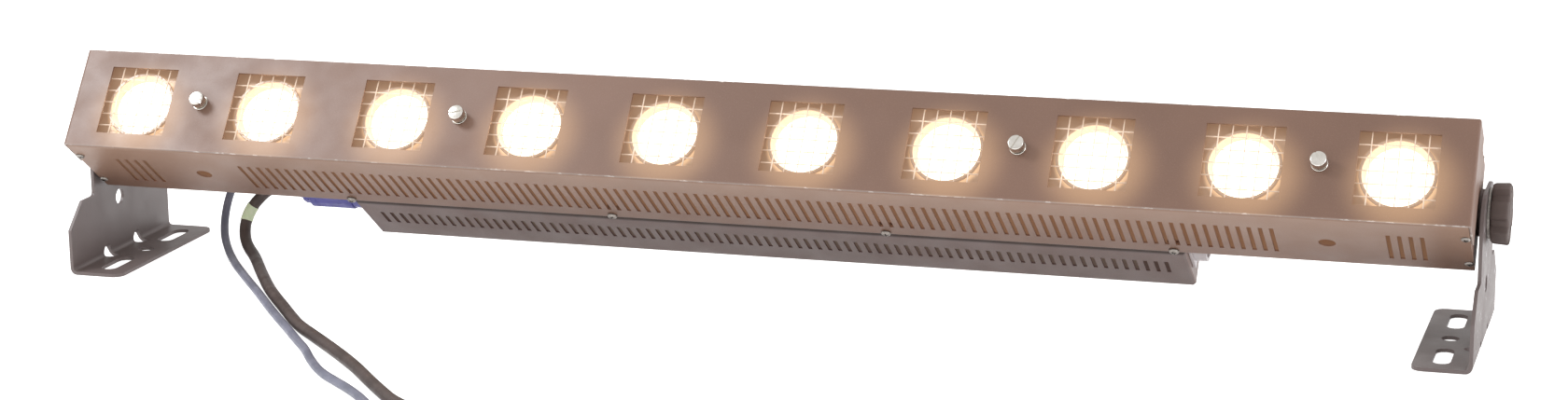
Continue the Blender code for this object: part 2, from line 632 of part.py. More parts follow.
def make_cover():
    length, half = COVER_LENGTH, COVER_HALF
    depth = COVER_BACK - COVER_FRONT
    bm = bmesh.new()
    put_box(bm, (length, depth, 2 * half), (0, COVER_FRONT + depth / 2, 0))
    for face in bm.faces:
        face.normal_update()
    front = [face for face in bm.faces if face.normal.y < -0.9]
    bmesh.ops.delete(bm, geom=front, context="FACES_ONLY")
    cover = add_object("electronics_cover", mesh_from(bm, "electronics_cover"), POWDER_COAT, bar_face)
    round_edges(cover, COVER_ROUND)
    solidify(cover, SHEET)
    tabs = bmesh.new()
    for x in COVER_SCREWS_X:
        for side in (-1, 1):
            reach = COVER_TAB[1]
            put_box(tabs, (COVER_TAB[0], reach + SHEET, SHEET * 0.9),
                    (x, COVER_FRONT - reach / 2 + SHEET / 2, side * (half - SHEET / 2)))
    boolean(cover, add_cutter("cover_tabs", tabs, bar_face), "UNION")
    cut = bmesh.new()
    slot_row(cut, -(COVER_SLOTS - 1) / 2 * SLOT_PITCH, COVER_SLOTS, COVER_SLOT_LENGTH,
             COVER_SLOT_DEPTH, -half + SHEET / 2, 4 * SHEET)
    for x in COVER_SCREWS_X:
        put_cylinder(cut, SCREW_SHANK + RUN, 4 * SHEET, (x, COVER_SCREW_DEPTH, -half + SHEET / 2),
                     (0, 0, 1), 12)
    for side in (-1, 1):
        for rise, radius in ((MAINS_RISE, MAINS_SOCKET), (DATA_RISE, DATA_SOCKET)):
            centre = (side * (length - SHEET) / 2, SOCKET_DEPTH, rise)
            put_cylinder(cut, radius - SOCKET_STEP + RUN, 4 * SHEET, centre, (1, 0, 0))
    boolean(cover, add_cutter("cover_cuts", cut, bar_face))


def make_cover_screw(number, x):
    tip = BAR_HEIGHT / 2 - COVER_HALF + 2 * SHEET
    profile = [(0, tip), (SCREW_SHANK, tip), (SCREW_SHANK, 0), (SCREW_HEAD, 0),
               (SCREW_HEAD, -SCREW_HEAD_HEIGHT * 0.6), (SCREW_HEAD * 0.6, -SCREW_HEAD_HEIGHT),
               (0, -SCREW_HEAD_HEIGHT)]
    place = (x, COVER_SCREW_DEPTH, -BAR_HEIGHT / 2 - TOUCH)
    turned(f"cover_screw_{number}", profile, NICKEL, bar_face, place, steps=12)


# Dimmer board on its legs, with the heatsink on top

def make_dimmer_board():
    length = COVER_LENGTH - 2 * BOARD_MARGIN
    top = BOARD_UNDERSIDE + BOARD_THICK
    bm = bmesh.new()
    put_box(bm, (length, BOARD_WIDTH, BOARD_THICK), (0, SOCKET_DEPTH, top - BOARD_THICK / 2))
    board = add_object("dimmer_board", mesh_from(bm, "dimmer_board"), BOARD_GREEN, bar_face)
    fitted = bmesh.new()
    sunk = BOARD_THICK / 2
    leg_middle = BOARD_UNDERSIDE - (BOARD_LEG - sunk) / 2
    leg_pitch = (length - 2 * LEG_INSET) / (LEG_COUNT - 1)
    for i in range(LEG_COUNT):
        for side in (-1, 1):
            x = (i - (LEG_COUNT - 1) / 2) * leg_pitch
            y = SOCKET_DEPTH + side * (BOARD_WIDTH / 2 - LEG_INSET)
            put_box(fitted, (LEG_SIDE, LEG_SIDE, BOARD_LEG + sunk), (x, y, leg_middle))
    for x in MODULE_X:
        width, depth, height = MODULE
        put_box(fitted, (width, depth, height + sunk), (x, SOCKET_DEPTH, top + (height - sunk) / 2))
    boolean(board, add_cutter("board_fittings", fitted, bar_face), "UNION")


def make_heatsink():
    length, width, height = HEATSINK
    base = BOARD_UNDERSIDE + BOARD_THICK + TOUCH
    bm = bmesh.new()
    put_box(bm, HEATSINK, (0, SOCKET_DEPTH, base + height / 2))
    sink = add_object("heatsink", mesh_from(bm, "heatsink"), ALUMINIUM, bar_face)
    cut = bmesh.new()
    pitch = width / HEATSINK_FINS
    for i in range(HEATSINK_FINS - 1):
        y = SOCKET_DEPTH + (i - (HEATSINK_FINS - 2) / 2) * pitch
        put_box(cut, (2 * length, pitch * 0.55, height), (0, y, base + height / 2 + 5 * MM))
    boolean(sink, add_cutter("fin_gaps", cut, bar_face))


# Sockets in the end faces

def make_socket(name, side, rise, radius, bore, material):
    end = COVER_LENGTH / 2 + TOUCH
    width, height, thick = SOCKET_FLANGE
    flange = bmesh.new()
    put_box(flange, (thick, width, height), (side * (end + thick / 2), SOCKET_DEPTH, rise))
    socket = add_object(name, mesh_from(flange, name), material, bar_face)
    solids = (
        ("bezel", radius, end + thick / 2, SOCKET_END, "UNION"),
        ("body", radius - SOCKET_STEP, end - SOCKET_BODY, end + thick / 2, "UNION"),
        ("bore", bore, SOCKET_END - BORE_LENGTH, SOCKET_END + BORE_LENGTH, "DIFFERENCE"),
    )
    for word, size, inner, outer, operation in solids:
        bm = bmesh.new()
        middle = (side * (inner + outer) / 2, SOCKET_DEPTH, rise)
        put_cylinder(bm, size, outer - inner, middle, (1, 0, 0))
        boolean(socket, add_cutter(f"{name}_{word}", bm, bar_face), operation)


# Brackets: bent steel, clamped against the end caps

def bracket_outline():
    """Outline of the arm and the base seen along the bar, from the axis."""
    ground = -AXIS_HEIGHT
    shoulder = ground + SHOULDER_HEIGHT
    half = [(-BASE_HALF, ground - PLATE), (-BASE_HALF, ground + BASE_SIDE), (-SHOULDER_HALF, shoulder)]
    before, inner = (-SHOULDER_HALF, shoulder, 0), (-ARM_HALF, shoulder, 0)
    head = (-ARM_HALF, HEAD_RISE, 0)
    half += [(p.x, p.y) for p in fillet(inner, before, head, ARM_FILLET)]
    half += [(p.x, p.y) for p in fillet(head, inner, (0, HEAD_RISE, 0), HEAD_CORNER, 7)]
    return half + [(-y, z) for y, z in reversed(half)]


def round_foot_corners(obj, edge_x):
    bm = bmesh.new()
    bm.from_mesh(obj.data)
    corners = [v for v in bm.verts if abs(v.co.x - edge_x) < MERGE]
    bmesh.ops.bevel(bm, geom=corners, offset=FOOT_CORNER, segments=4, profile=0.5, affect="VERTICES")
    bm.to_mesh(obj.data)
    bm.free()


def make_bracket(side):
    name = "right_bracket" if side > 0 else "left_bracket"
    axis = (0, 0, AXIS_HEIGHT)
    ground, top = -AXIS_HEIGHT, HEAD_RISE + PLATE
    outer = side * ARM_OUTER
    edge = side * (ARM_OUTER - FOOT_WIDTH)
    corners = [(edge, -BASE_HALF, ground), (outer, -BASE_HALF, ground), (outer, -BASE_HALF, top)]
    bracket = bent_sheet(name, rounded_path(corners, FOOT_BEND, 4), (0, 2 * BASE_HALF, 0), PLATE,
                         POWDER_COAT, location=axis)
    round_foot_corners(bracket, edge)
    shape = bmesh.new()
    turn = Matrix(((0, 0, 1, 0), (1, 0, 0, 0), (0, 1, 0, 0), (0, 0, 0, 1)))
    middle = Matrix.Translation((side * (ARM_OUTER - FOOT_WIDTH / 2), 0, 0))
    prism(shape, bracket_outline(), 2 * FOOT_WIDTH, middle @ turn)
    boolean(bracket, add_cutter(name + "_outline", shape, None, axis), "INTERSECT")
    cut = bmesh.new()
    put_cylinder(cut, BOLT + RUN, 4 * PLATE, (outer, 0, 0), (1, 0, 0))
    put_cylinder(cut, ARM_HOLE, 4 * PLATE, (outer, 0, ground + ARM_HOLE_HEIGHT), (1, 0, 0))
    line = side * (ARM_OUTER - FOOT_LINE)
    put_cylinder(cut, FOOT_HOLE, 4 * PLATE, (line, 0, ground), (0, 0, 1))
    for way in (-1, 1):
        width, length = FOOT_SLOT
        slot_outline = []
        for end in (1, -1):
            for i in range(7):
                angle = (0 if end > 0 else math.pi) + math.pi * i / 6
                slot_outline.append((width / 2 * math.cos(angle),
                                     end * (length - width) / 2 + width / 2 * math.sin(angle)))
        prism(cut, slot_outline, 4 * PLATE, Matrix.Translation((line, way * FOOT_SLOT_Y, ground)))
        inner_fold = (side * ARM_INNER, way * RELIEF_Y, ground + PLATE)
        put_cylinder(cut, RELIEF_HOLE, 8 * PLATE, inner_fold, (side, 0, -1), 12)
    boolean(bracket, add_cutter(name + "_holes", cut, None, axis))


# Clamping stack on the axis: friction disc, washer and lobed knob with its bolt

def ring_profile(outer, inner, thick):
    return [(inner, thick), (outer, thick), (outer, 0), (inner, 0)]


def along_x(side):
    return (0, side * math.pi / 2, 0)


def make_clamp(side):
    word = "right" if side > 0 else "left"
    disc = ring_profile(DISC_RADIUS, BOLT + RUN, DISC_GAP - 2 * TOUCH)
    turned(word + "_friction_disc", disc, FRICTION, None, (side * (CHANNEL_END + TOUCH), 0, AXIS_HEIGHT),
           along_x(side))
    washer = ring_profile(WASHER_RADIUS, BOLT + RUN, WASHER_THICK)
    turned(word + "_washer", washer, NICKEL, None, (side * WASHER_INNER, 0, AXIS_HEIGHT), along_x(side))
    make_knob(word + "_knob", side)


def knob_outline():
    """Six lobes with shallow hollows between them."""
    points = []
    per_lobe = 6
    for i in range(KNOB_LOBES * per_lobe):
        angle = 2 * math.pi * i / (KNOB_LOBES * per_lobe)
        share = abs((i + per_lobe / 2) % per_lobe - per_lobe / 2) / (per_lobe / 2)
        radius = KNOB_RADIUS - KNOB_SCALLOP * max(0.0, (share - 0.5) * 2)
        points.append((radius * math.cos(angle), radius * math.sin(angle)))
    return points


def make_knob(name, side):
    bm = bmesh.new()
    place = Matrix.Translation((0, 0, KNOB_THICK / 2))
    prism(bm, knob_outline(), KNOB_THICK, place)
    knob = add_object(name, mesh_from(bm, name), BLACK_PLASTIC, None, (side * KNOB_INNER, 0, AXIS_HEIGHT))
    knob.rotation_euler = along_x(side)
    round_edges(knob, 0.8 * MM)
    bolt = bmesh.new()
    tip = KNOB_INNER - CAP_INNER + BOLT_REACH
    length = tip + KNOB_THICK / 2
    put_cylinder(bolt, BOLT, length, (0, 0, KNOB_THICK / 2 - length / 2), (0, 0, 1))
    cutter = add_cutter(name + "_bolt", bolt, None, knob.location)
    cutter.rotation_euler = along_x(side)
    boolean(knob, cutter, "UNION")


# Leads

def smooth_route(points, spacing):
    """Even points on a smooth curve through the given ones, with a straight run at each end."""
    points = [Vector(p) for p in points]
    fine = []
    for a, b, c, d in zip(points, points[1:], points[2:], points[3:]):
        for i in range(12):
            t = i / 12
            fine.append(0.5 * ((2 * b) + (c - a) * t + (2 * a - 5 * b + 4 * c - d) * t * t
                               + (3 * b - a - 3 * c + d) * t ** 3))
    fine.append(points[-2])
    total = sum((q - p).length for p, q in zip(fine, fine[1:]))
    count = max(2, round(total / spacing))
    even, walked, target = [fine[0]], 0.0, total / count
    for p, q in zip(fine, fine[1:]):
        step = (q - p).length
        while step > 0 and walked + step >= target * len(even) and len(even) < count:
            even.append(p.lerp(q, (target * len(even) - walked) / step))
        walked += step
    return [points[0]] + even + points[-2:]


def tube(name, points, diameter, material, resolution):
    curve = bpy.data.curves.new(name, "CURVE")
    curve.dimensions = "3D"
    curve.bevel_depth = diameter / 2
    curve.bevel_resolution = resolution
    curve.use_fill_caps = True
    spline = curve.splines.new("POLY")
    spline.points.add(len(points) - 1)
    for place, point in zip(spline.points, points):
        place.co = (*point, 1.0)
    curve.materials.append(material)
    obj = bpy.data.objects.new(name, curve)
    PARTS.objects.link(obj)
    return obj


def coil_points(centre, radius, start, layer, diameter):
    """A coil of two layers, wound clockwise: inwards on the floor, up a layer, and out again."""
    pitch = diameter + COIL_GAP
    low = diameter / 2 + FLOOR_GAP
    inner = radius - pitch * layer
    turns = 2 * layer + COIL_CLIMB
    count = round(turns * LOOP_COUNT)
    points = []
    for i in range(count + 1):
        turn = turns * i / count
        rise = min(max((turn - layer) / COIL_CLIMB, 0.0), 1.0)
        if turn <= layer:
            r = radius - pitch * turn
        elif turn < layer + COIL_CLIMB:
            r = inner - pitch * COIL_CLIMB * (rise - rise * rise)
        else:
            r = inner + pitch * (turn - layer - COIL_CLIMB)
        angle = start - 2 * math.pi * turn
        lift = pitch * rise * rise * (3 - 2 * rise)
        points.append(Vector((centre[0] + r * math.cos(angle), centre[1] + r * math.sin(angle), low + lift)))
    return points


def heading(angle):
    """Direction of a clockwise turn at this angle of the coil."""
    return Vector((math.sin(angle), -math.cos(angle), 0))


def coil_end_angle(start, layer):
    return start - 2 * math.pi * (2 * layer + COIL_CLIMB)


def coil_entry(centre, radius, start, diameter):
    """Where the lead meets the coil, one diameter before its first turn."""
    low = diameter / 2 + FLOOR_GAP
    point = Vector((centre[0] + radius * math.cos(start), centre[1] + radius * math.sin(start), low))
    return point - heading(start) * diameter


def least_self_gap(points, diameter):
    """Smallest gap of a coil to itself, measured between points over a third of a turn apart."""
    apart = LOOP_COUNT // 3
    least = min((p - q).length for i, p in enumerate(points) for q in points[i + apart:])
    return least - diameter


def make_coil(name, centre, radius, start, layer, diameter, material, tail, tilt):
    points = coil_points(centre, radius, start, layer, diameter)
    end = coil_end_angle(start, layer)
    way = heading(end)
    lean = Vector((way.x * math.cos(tilt), way.y * math.cos(tilt), math.sin(tilt)))
    entry = coil_entry(centre, radius, start, diameter)
    run = [entry] + points + [points[-1] + lean * tail]
    print(f"{name}: least gap to itself {least_self_gap(run, diameter) / MM:.2f} mm")
    tube(name, run, diameter, material, 1)
    return run[-1], lean


def wall_plug_tilt():
    """Lift of the wall plug's nose, so that its widest part just clears the floor."""
    top = MAINS_CORD / 2 + FLOOR_GAP + MAINS_CORD + COIL_GAP
    return math.asin((WALL_PLUG_FRONT + FLOOR_GAP - top) / (MAINS_TAIL + WALL_PLUG_GRIP))


def point_along(direction):
    """Rotation that takes +z to this direction."""
    return Vector((0, 0, 1)).rotation_difference(Vector(direction)).to_euler()


def make_wall_plug(start, way):
    length, front = WALL_PLUG_LENGTH, WALL_PLUG_FRONT
    back = MAINS_CORD / 2 + WALL_PLUG_WALL
    profile = [
        (0, length), (front - WALL_PLUG_CHAMFER, length), (front, length - WALL_PLUG_CHAMFER),
        (front, WALL_PLUG_GRIP), (front - WALL_PLUG_STEP, WALL_PLUG_GRIP - WALL_PLUG_SLOPE),
        (back + WALL_PLUG_STEP, WALL_PLUG_RELIEF), (back, 0), (0, 0),
    ]
    plug = turned("wall_plug", profile, BLACK_PLASTIC, None, start + way * TOUCH)
    plug.rotation_euler = point_along(way)
    pins = bmesh.new()
    for side in (-1, 1):
        root = length - WALL_PLUG_CHAMFER
        middle = (side * WALL_PLUG_PIN_SPREAD, 0, (root + length + WALL_PLUG_PIN_REACH) / 2)
        put_cylinder(pins, WALL_PLUG_PIN, WALL_PLUG_PIN_REACH + WALL_PLUG_CHAMFER, middle, (0, 0, 1), 10)
    cutter = add_cutter("wall_plug_pins", pins, None, plug.location)
    cutter.rotation_euler = plug.rotation_euler
    boolean(plug, cutter, "UNION")


def data_plug_profile():
    length, tip = DATA_BODY_LENGTH, DATA_BODY_LENGTH + DATA_NOSE
    nose = DATA_BORE - RUN
    back = DATA_CORD / 2 + DATA_WALL
    return [
        (0, tip), (nose, tip), (nose, length), (DATA_BODY, length), (DATA_BODY, DATA_BOOT),
        (back + DATA_WALL, DATA_BOOT - DATA_CHAMFER), (back, 0), (0, 0),
    ]


def make_data_plug(name, start, way):
    plug = turned(name, data_plug_profile(), NICKEL, None, start)
    plug.rotation_euler = point_along(way)


def make_mains_twist_plug():
    """Blue locking plug in the left end of the electronics housing; it points along the bar."""
    length, tip = TWIST_LENGTH, TWIST_LENGTH + TWIST_NOSE
    nose = MAINS_BORE - RUN
    back = MAINS_CORD / 2 + TWIST_WALL
    profile = [
        (0, tip), (nose, tip), (nose, length), (TWIST_BODY, length), (TWIST_BODY, TWIST_GLAND),
        (back + TWIST_WALL, TWIST_GLAND - TWIST_CHAMFER), (back, 0), (0, 0),
    ]
    place = to_world((-SOCKET_END - TOUCH - length, SOCKET_DEPTH, MAINS_RISE))
    plug = turned("mains_twist_plug", profile, BLUE_PLASTIC, None, place)
    plug.rotation_euler = point_along((1, 0, 0))
    return place


def make_leads():
    mains_start = make_mains_twist_plug() - Vector((TOUCH, 0, 0))
    data_start = to_world((-SOCKET_END - TOUCH - DATA_BODY_LENGTH, SOCKET_DEPTH, DATA_RISE))
    make_data_plug("data_plug_near", data_start, (1, 0, 0))
    data_start -= Vector((TOUCH, 0, 0))
    jobs = (
        ("mains_lead", mains_start, MAINS_ROUTE, MAINS_COIL, MAINS_COIL_RADIUS, MAINS_COIL_START,
         MAINS_CORD, BLACK_SHEATH),
        ("data_lead", data_start, DATA_ROUTE, DATA_COIL, DATA_COIL_RADIUS, DATA_COIL_START,
         DATA_CORD, GREY_SHEATH),
    )
    for name, start, route, centre, radius, angle, diameter, material in jobs:
        entry = coil_entry(centre, radius, angle, diameter)
        last = entry - heading(angle) * TOUCH
        first_run = start - Vector((diameter, 0, 0))
        last_run = last - heading(angle) * diameter
        through = [start, first_run] + [Vector(p) * MM for p in route] + [last_run, last]
        points = smooth_route(through, 2.4 * diameter)
        print(f"{name}: {sum((q - p).length for p, q in zip(points, points[1:])):.3f} m")
        tube(name, points, diameter, material, 2)
    end, way = make_coil("mains_lead_coil", MAINS_COIL, MAINS_COIL_RADIUS, MAINS_COIL_START,
                         MAINS_COIL_LAYER, MAINS_CORD, BLACK_SHEATH, MAINS_TAIL, wall_plug_tilt())
    make_wall_plug(end, way)
    end, way = make_coil("data_lead_coil", DATA_COIL, DATA_COIL_RADIUS, DATA_COIL_START,
                         DATA_COIL_LAYER, DATA_CORD, GREY_SHEATH, DATA_TAIL, 0.0)
    make_data_plug("data_plug_far", end + way * TOUCH, way)


# Assembly

make_channel()
make_front_panel()
make_guard_strip()
make_lamp_tray()
for index, lamp_x in enumerate(LAMPS_X, start=1):
    make_lamp(index, lamp_x)
    make_lampholder(index, lamp_x)
for index, screw_x in enumerate(THUMBS_X, start=1):
    make_thumb_screw(index, screw_x)
make_cover()
for index, screw_x in enumerate(COVER_SCREWS_X, start=1):
    make_cover_screw(index, screw_x)
make_dimmer_board()
make_heatsink()
make_socket("mains_inlet", -1, MAINS_RISE, MAINS_SOCKET, MAINS_BORE, BLUE_PLASTIC)
make_socket("data_inlet", -1, DATA_RISE, DATA_SOCKET, DATA_BORE, NICKEL)
make_socket("mains_outlet", 1, MAINS_RISE, MAINS_SOCKET, MAINS_BORE, GREY_PLASTIC)
make_socket("data_outlet", 1, DATA_RISE, DATA_SOCKET, DATA_BORE, NICKEL)
for end_side in (-1, 1):
    make_end_cap(end_side)
    make_bracket(end_side)
    make_clamp(end_side)
make_leads()

for part in PARTS.objects:
    if part.type == "MESH":
        smooth(part)
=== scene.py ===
import json
import math

import bmesh
import bpy
from mathutils import Matrix, Vector


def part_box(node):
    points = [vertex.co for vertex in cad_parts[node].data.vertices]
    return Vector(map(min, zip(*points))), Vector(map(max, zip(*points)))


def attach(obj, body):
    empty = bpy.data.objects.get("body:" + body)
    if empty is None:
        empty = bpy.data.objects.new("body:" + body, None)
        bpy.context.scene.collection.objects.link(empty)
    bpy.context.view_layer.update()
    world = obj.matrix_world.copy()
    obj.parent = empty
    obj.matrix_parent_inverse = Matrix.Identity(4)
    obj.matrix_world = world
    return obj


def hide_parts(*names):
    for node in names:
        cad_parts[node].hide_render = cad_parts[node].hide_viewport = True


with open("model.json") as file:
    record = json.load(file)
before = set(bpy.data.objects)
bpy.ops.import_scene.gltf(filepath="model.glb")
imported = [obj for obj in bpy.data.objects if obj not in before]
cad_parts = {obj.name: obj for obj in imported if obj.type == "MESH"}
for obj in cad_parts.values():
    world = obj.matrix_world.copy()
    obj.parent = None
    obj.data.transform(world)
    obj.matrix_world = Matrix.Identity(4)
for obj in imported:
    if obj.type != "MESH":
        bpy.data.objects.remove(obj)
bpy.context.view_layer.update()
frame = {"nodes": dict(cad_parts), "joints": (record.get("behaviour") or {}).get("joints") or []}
bpy.ops.object.select_all(action="DESELECT")


# Studio. A white floor that runs out of sight under the bar, a small soft light high on the left, a
# wider one low on the right, and the camera low in front of the bar's right half.

def new_finish(name, colour, roughness, metallic=0.0, specular=0.5):
    finish = bpy.data.materials.new(name)
    finish.use_nodes = True
    shader = finish.node_tree.nodes["Principled BSDF"]
    shader.inputs["Base Color"].default_value = (*colour, 1)
    shader.inputs["Roughness"].default_value = roughness
    shader.inputs["Metallic"].default_value = metallic
    shader.inputs["Specular IOR Level"].default_value = specular
    return finish


def add_node(finish, kind, settings=None, **inputs):
    """A node of this kind; an input given as a socket is wired up."""
    node = finish.node_tree.nodes.new(kind)
    for word, value in (settings or {}).items():
        setattr(node, word, value)
    for word, value in inputs.items():
        socket = node.inputs[int(word[1:])] if word[0] == "i" and word[1:].isdigit() else node.inputs[word]
        if isinstance(value, bpy.types.NodeSocket):
            finish.node_tree.links.new(value, socket)
        else:
            socket.default_value = value
    return node


def shader_of(finish):
    return finish.node_tree.nodes["Principled BSDF"]


def wire_up(finish, value, word):
    """Gives an input of the shader a socket or a plain value."""
    socket = shader_of(finish).inputs[word]
    if isinstance(value, bpy.types.NodeSocket):
        finish.node_tree.links.new(value, socket)
    else:
        socket.default_value = value


def light_up(finish, colour, strength):
    wire_up(finish, colour, "Emission Color")
    wire_up(finish, strength, "Emission Strength")


def maths(finish, operation, first, second=None):
    values = {"i0": first}
    if second is not None:
        values["i1"] = second
    return add_node(finish, "ShaderNodeMath", {"operation": operation}, **values).outputs[0]


FLOOR_SEEN = 0.85
FLOOR_MIRRORED = 0.6

bpy.ops.mesh.primitive_plane_add(size=16, location=(0, 2, 0))
floor = bpy.context.object
floor.name = "studio_floor"
floor_white = new_finish("floor_white", (0.9, 0.9, 0.9), 0.9, specular=0.1)
path = add_node(floor_white, "ShaderNodeLightPath")
seen = maths(floor_white, "MAXIMUM", path.outputs["Is Camera Ray"], path.outputs["Is Transmission Ray"])
seen = maths(floor_white, "MULTIPLY", seen, FLOOR_SEEN)
mirrored = maths(floor_white, "MULTIPLY", path.outputs["Is Glossy Ray"], FLOOR_MIRRORED)
light_up(floor_white, (1, 1, 1, 1), maths(floor_white, "MAXIMUM", seen, mirrored))
floor.data.materials.append(floor_white)

surround = bpy.data.worlds.new("surround")
bpy.context.scene.world = surround
surround.use_nodes = True
air = surround.node_tree.nodes["Background"]
air.inputs["Color"].default_value = (1.0, 0.985, 0.97, 1)
air.inputs["Strength"].default_value = 0.80


def add_softbox(name, place, aim, side, watts, colour):
    bpy.ops.object.light_add(type="AREA", location=place)
    lamp = bpy.context.object
    lamp.name = name
    lamp.data.size = side
    lamp.data.energy = watts
    lamp.data.color = colour
    lamp.rotation_euler = (Vector(aim) - Vector(place)).to_track_quat("-Z", "Y").to_euler()


add_softbox("softbox_left", (-1.18, -0.60, 1.22), (-0.45, 0, 0.1), 0.5, 11, (0.94, 0.97, 1.0))
add_softbox("softbox_right", (2.2, -0.35, 0.5), (0.5, 0, 0.1), 0.9, 10, (0.97, 0.97, 1.0))

bpy.ops.object.camera_add()
camera = bpy.context.object
camera.name = "camera"
camera.data.sensor_width = 36
camera.data.lens = 75.92
camera.matrix_world = Matrix((
    (0.95604, -0.05780, 0.28762, 0.6856),
    (0.29316, 0.22450, -0.92932, -2.1547),
    (-0.01086, 0.97276, 0.23157, 0.6067),
    (0, 0, 0, 1),
))
bpy.context.scene.camera = camera
bpy.context.scene.view_settings.view_transform = "Standard"


# Mains lead. A round three-core lead in a black rubbery sheath, a metre and a half long. It comes out
# of the twist-lock plug, drops to the floor, runs out in front of the bar and is coiled there.

MAINS_CORD = 0.0085
MAINS_START = Vector((-0.3666, 0.01888, 0.05324))
MAINS_ROUTE = (
    (-0.3824, 0.0189, 0.0514), (-0.3897, 0.0190, 0.0474), (-0.3962, 0.0190, 0.0417),
    (-0.4011, 0.0176, 0.0355), (-0.4040, 0.0152, 0.0290), (-0.4047, 0.0118, 0.0227),
    (-0.4033, 0.0076, 0.0169), (-0.3999, 0.0026, 0.0121), (-0.3949, -0.0030, 0.0088),
    (-0.3895, -0.0092, 0.0072), (-0.3846, -0.0156, 0.0061), (-0.3800, -0.0223, 0.0054),
    (-0.3715, -0.0359, 0.0048), (-0.3630, -0.0496, 0.0046), (-0.3545, -0.0632, 0.0046),
    (-0.3415, -0.0835, 0.0046), (-0.3278, -0.1034, 0.0046), (-0.3086, -0.1293, 0.0046),
    (-0.2771, -0.1711, 0.0046), (-0.2550, -0.1944, 0.0046), (-0.2335, -0.2164, 0.0046),
    (-0.2136, -0.2374, 0.0046), (-0.1942, -0.2590, 0.0046), (-0.1746, -0.2829, 0.0046),
    (-0.1554, -0.3057, 0.0046), (-0.1385, -0.3240, 0.0046), (-0.1180, -0.3386, 0.0046),
    (-0.0940, -0.3476, 0.0046),
)
MAINS_COIL = (-0.055, -0.403)
MAINS_COIL_RADIUS = 0.0525
MAINS_COIL_START = math.radians(90)
MAINS_COIL_LAYER = 1.375
COIL_GAP = 0.0007
COIL_CLIMB = 0.5
COIL_STEPS = 36
FLOOR_GAP = 0.0003
MAINS_TAIL = 0.009
WALL_PLUG_RADIUS = 0.0183
WALL_PLUG_MIDDLE = 0.047


def coil_turns(centre, radius, start, layer, diameter):
    """Points of a two-layer coil wound clockwise: inwards on the floor, up a layer, and out again."""
    step = diameter + COIL_GAP
    inner = radius - step * layer
    turns = 2 * layer + COIL_CLIMB
    count = round(turns * COIL_STEPS)
    points = []
    for i in range(count + 1):
        turn = turns * i / count
        rise = min(max((turn - layer) / COIL_CLIMB, 0.0), 1.0)
        if turn <= layer:
            r = radius - step * turn
        elif turn < layer + COIL_CLIMB:
            r = inner - step * COIL_CLIMB * (rise - rise * rise)
        else:
            r = inner + step * (turn - layer - COIL_CLIMB)
        angle = start - 2 * math.pi * turn
        lift = diameter / 2 + FLOOR_GAP + step * rise * rise * (3 - 2 * rise)
        points.append(Vector((centre[0] + r * math.cos(angle), centre[1] + r * math.sin(angle), lift)))
    return points


def eased(points, steps=6):
    """A smooth line through the points that leaves and arrives straight."""
    line = [points[0]]
    for a, b, c, d in zip(points, points[1:], points[2:], points[3:]):
        for i in range(steps):
            t = i / steps
            line.append(0.5 * ((2 * b) + (c - a) * t + (2 * a - 5 * b + 4 * c - d) * t * t
                               + (3 * b - a - 3 * c + d) * t ** 3))
    return line + [points[-2], points[-1]]


def lead_line(start, route, centre, radius, angle, layer, diameter, tail, lean):
    """The whole line of a lead: out of its plug, along the floor, round its coil and into the far plug."""
    coil = coil_turns(centre, radius, angle, layer, diameter)
    way_in = Vector((math.sin(angle), -math.cos(angle), 0))
    free = [start, start - Vector((diameter, 0, 0))] + [Vector(p) for p in route]
    free += [coil[0] - way_in * 2 * diameter, coil[0] - way_in * diameter]
    end = angle - 2 * math.pi * (2 * layer + COIL_CLIMB)
    way_out = Vector((math.sin(end) * math.cos(lean), -math.cos(end) * math.cos(lean), math.sin(lean)))
    last = coil[-1] + way_out * tail
    return eased(free) + coil + [last], last, way_out


def curve_along(name, line, radius, resolution):
    curve = bpy.data.curves.new(name, "CURVE")
    curve.dimensions = "3D"
    curve.bevel_depth = radius
    curve.bevel_resolution = resolution
    spline = curve.splines.new("POLY")
    spline.points.add(len(line) - 1)
    for point, place in zip(spline.points, line):
        point.co = (*place, 1)
    piece = bpy.data.objects.new(name, curve)
    bpy.context.scene.collection.objects.link(piece)
    return piece


def lay_lead(name, line, diameter, finish):
    lead = curve_along(name, line, diameter / 2, 5)
    lead.data.use_fill_caps = True
    lead.data.materials.append(finish)
    return lead


def noise_of(finish, scale, detail):
    """Noise over the object's own coordinates, from 0 to 1."""
    place = add_node(finish, "ShaderNodeTexCoord")
    noise = add_node(
        finish, "ShaderNodeTexNoise", Vector=place.outputs["Object"], Scale=scale, Detail=detail)
    return noise.outputs["Fac"]


def spread_of(finish, value, given, wanted, kind="LINEAR"):
    """A value taken from one range to another and held at its ends."""
    spread = add_node(finish, "ShaderNodeMapRange", {"interpolation_type": kind}, Value=value)
    for word, limit in zip(("From Min", "From Max", "To Min", "To Max"), (*given, *wanted)):
        spread.inputs[word].default_value = limit
    return spread.outputs["Result"]


def add_mottle(finish, dark, pale, scale, detail=4.0, low=0.35, high=0.65):
    """Base colour that drifts between two tones."""
    ramp = add_node(finish, "ShaderNodeValToRGB", Fac=noise_of(finish, scale, detail))
    ramp.color_ramp.elements[0].position = low
    ramp.color_ramp.elements[0].color = (*dark, 1)
    ramp.color_ramp.elements[1].position = high
    ramp.color_ramp.elements[1].color = (*pale, 1)
    wire_up(finish, ramp.outputs["Color"], "Base Color")
    return ramp.outputs["Color"]


def add_grain(finish, scale, strength, distance, detail=3.0):
    """Fine relief of a surface."""
    height = noise_of(finish, scale, detail)
    bump = add_node(finish, "ShaderNodeBump", Strength=strength, Distance=distance, Height=height)
    wire_up(finish, bump.outputs["Normal"], "Normal")


def add_sheen_map(finish, scale, low, high):
    """Roughness that varies over a surface."""
    wire_up(finish, spread_of(finish, noise_of(finish, scale, 5.0), (0.3, 0.7), (low, high)), "Roughness")


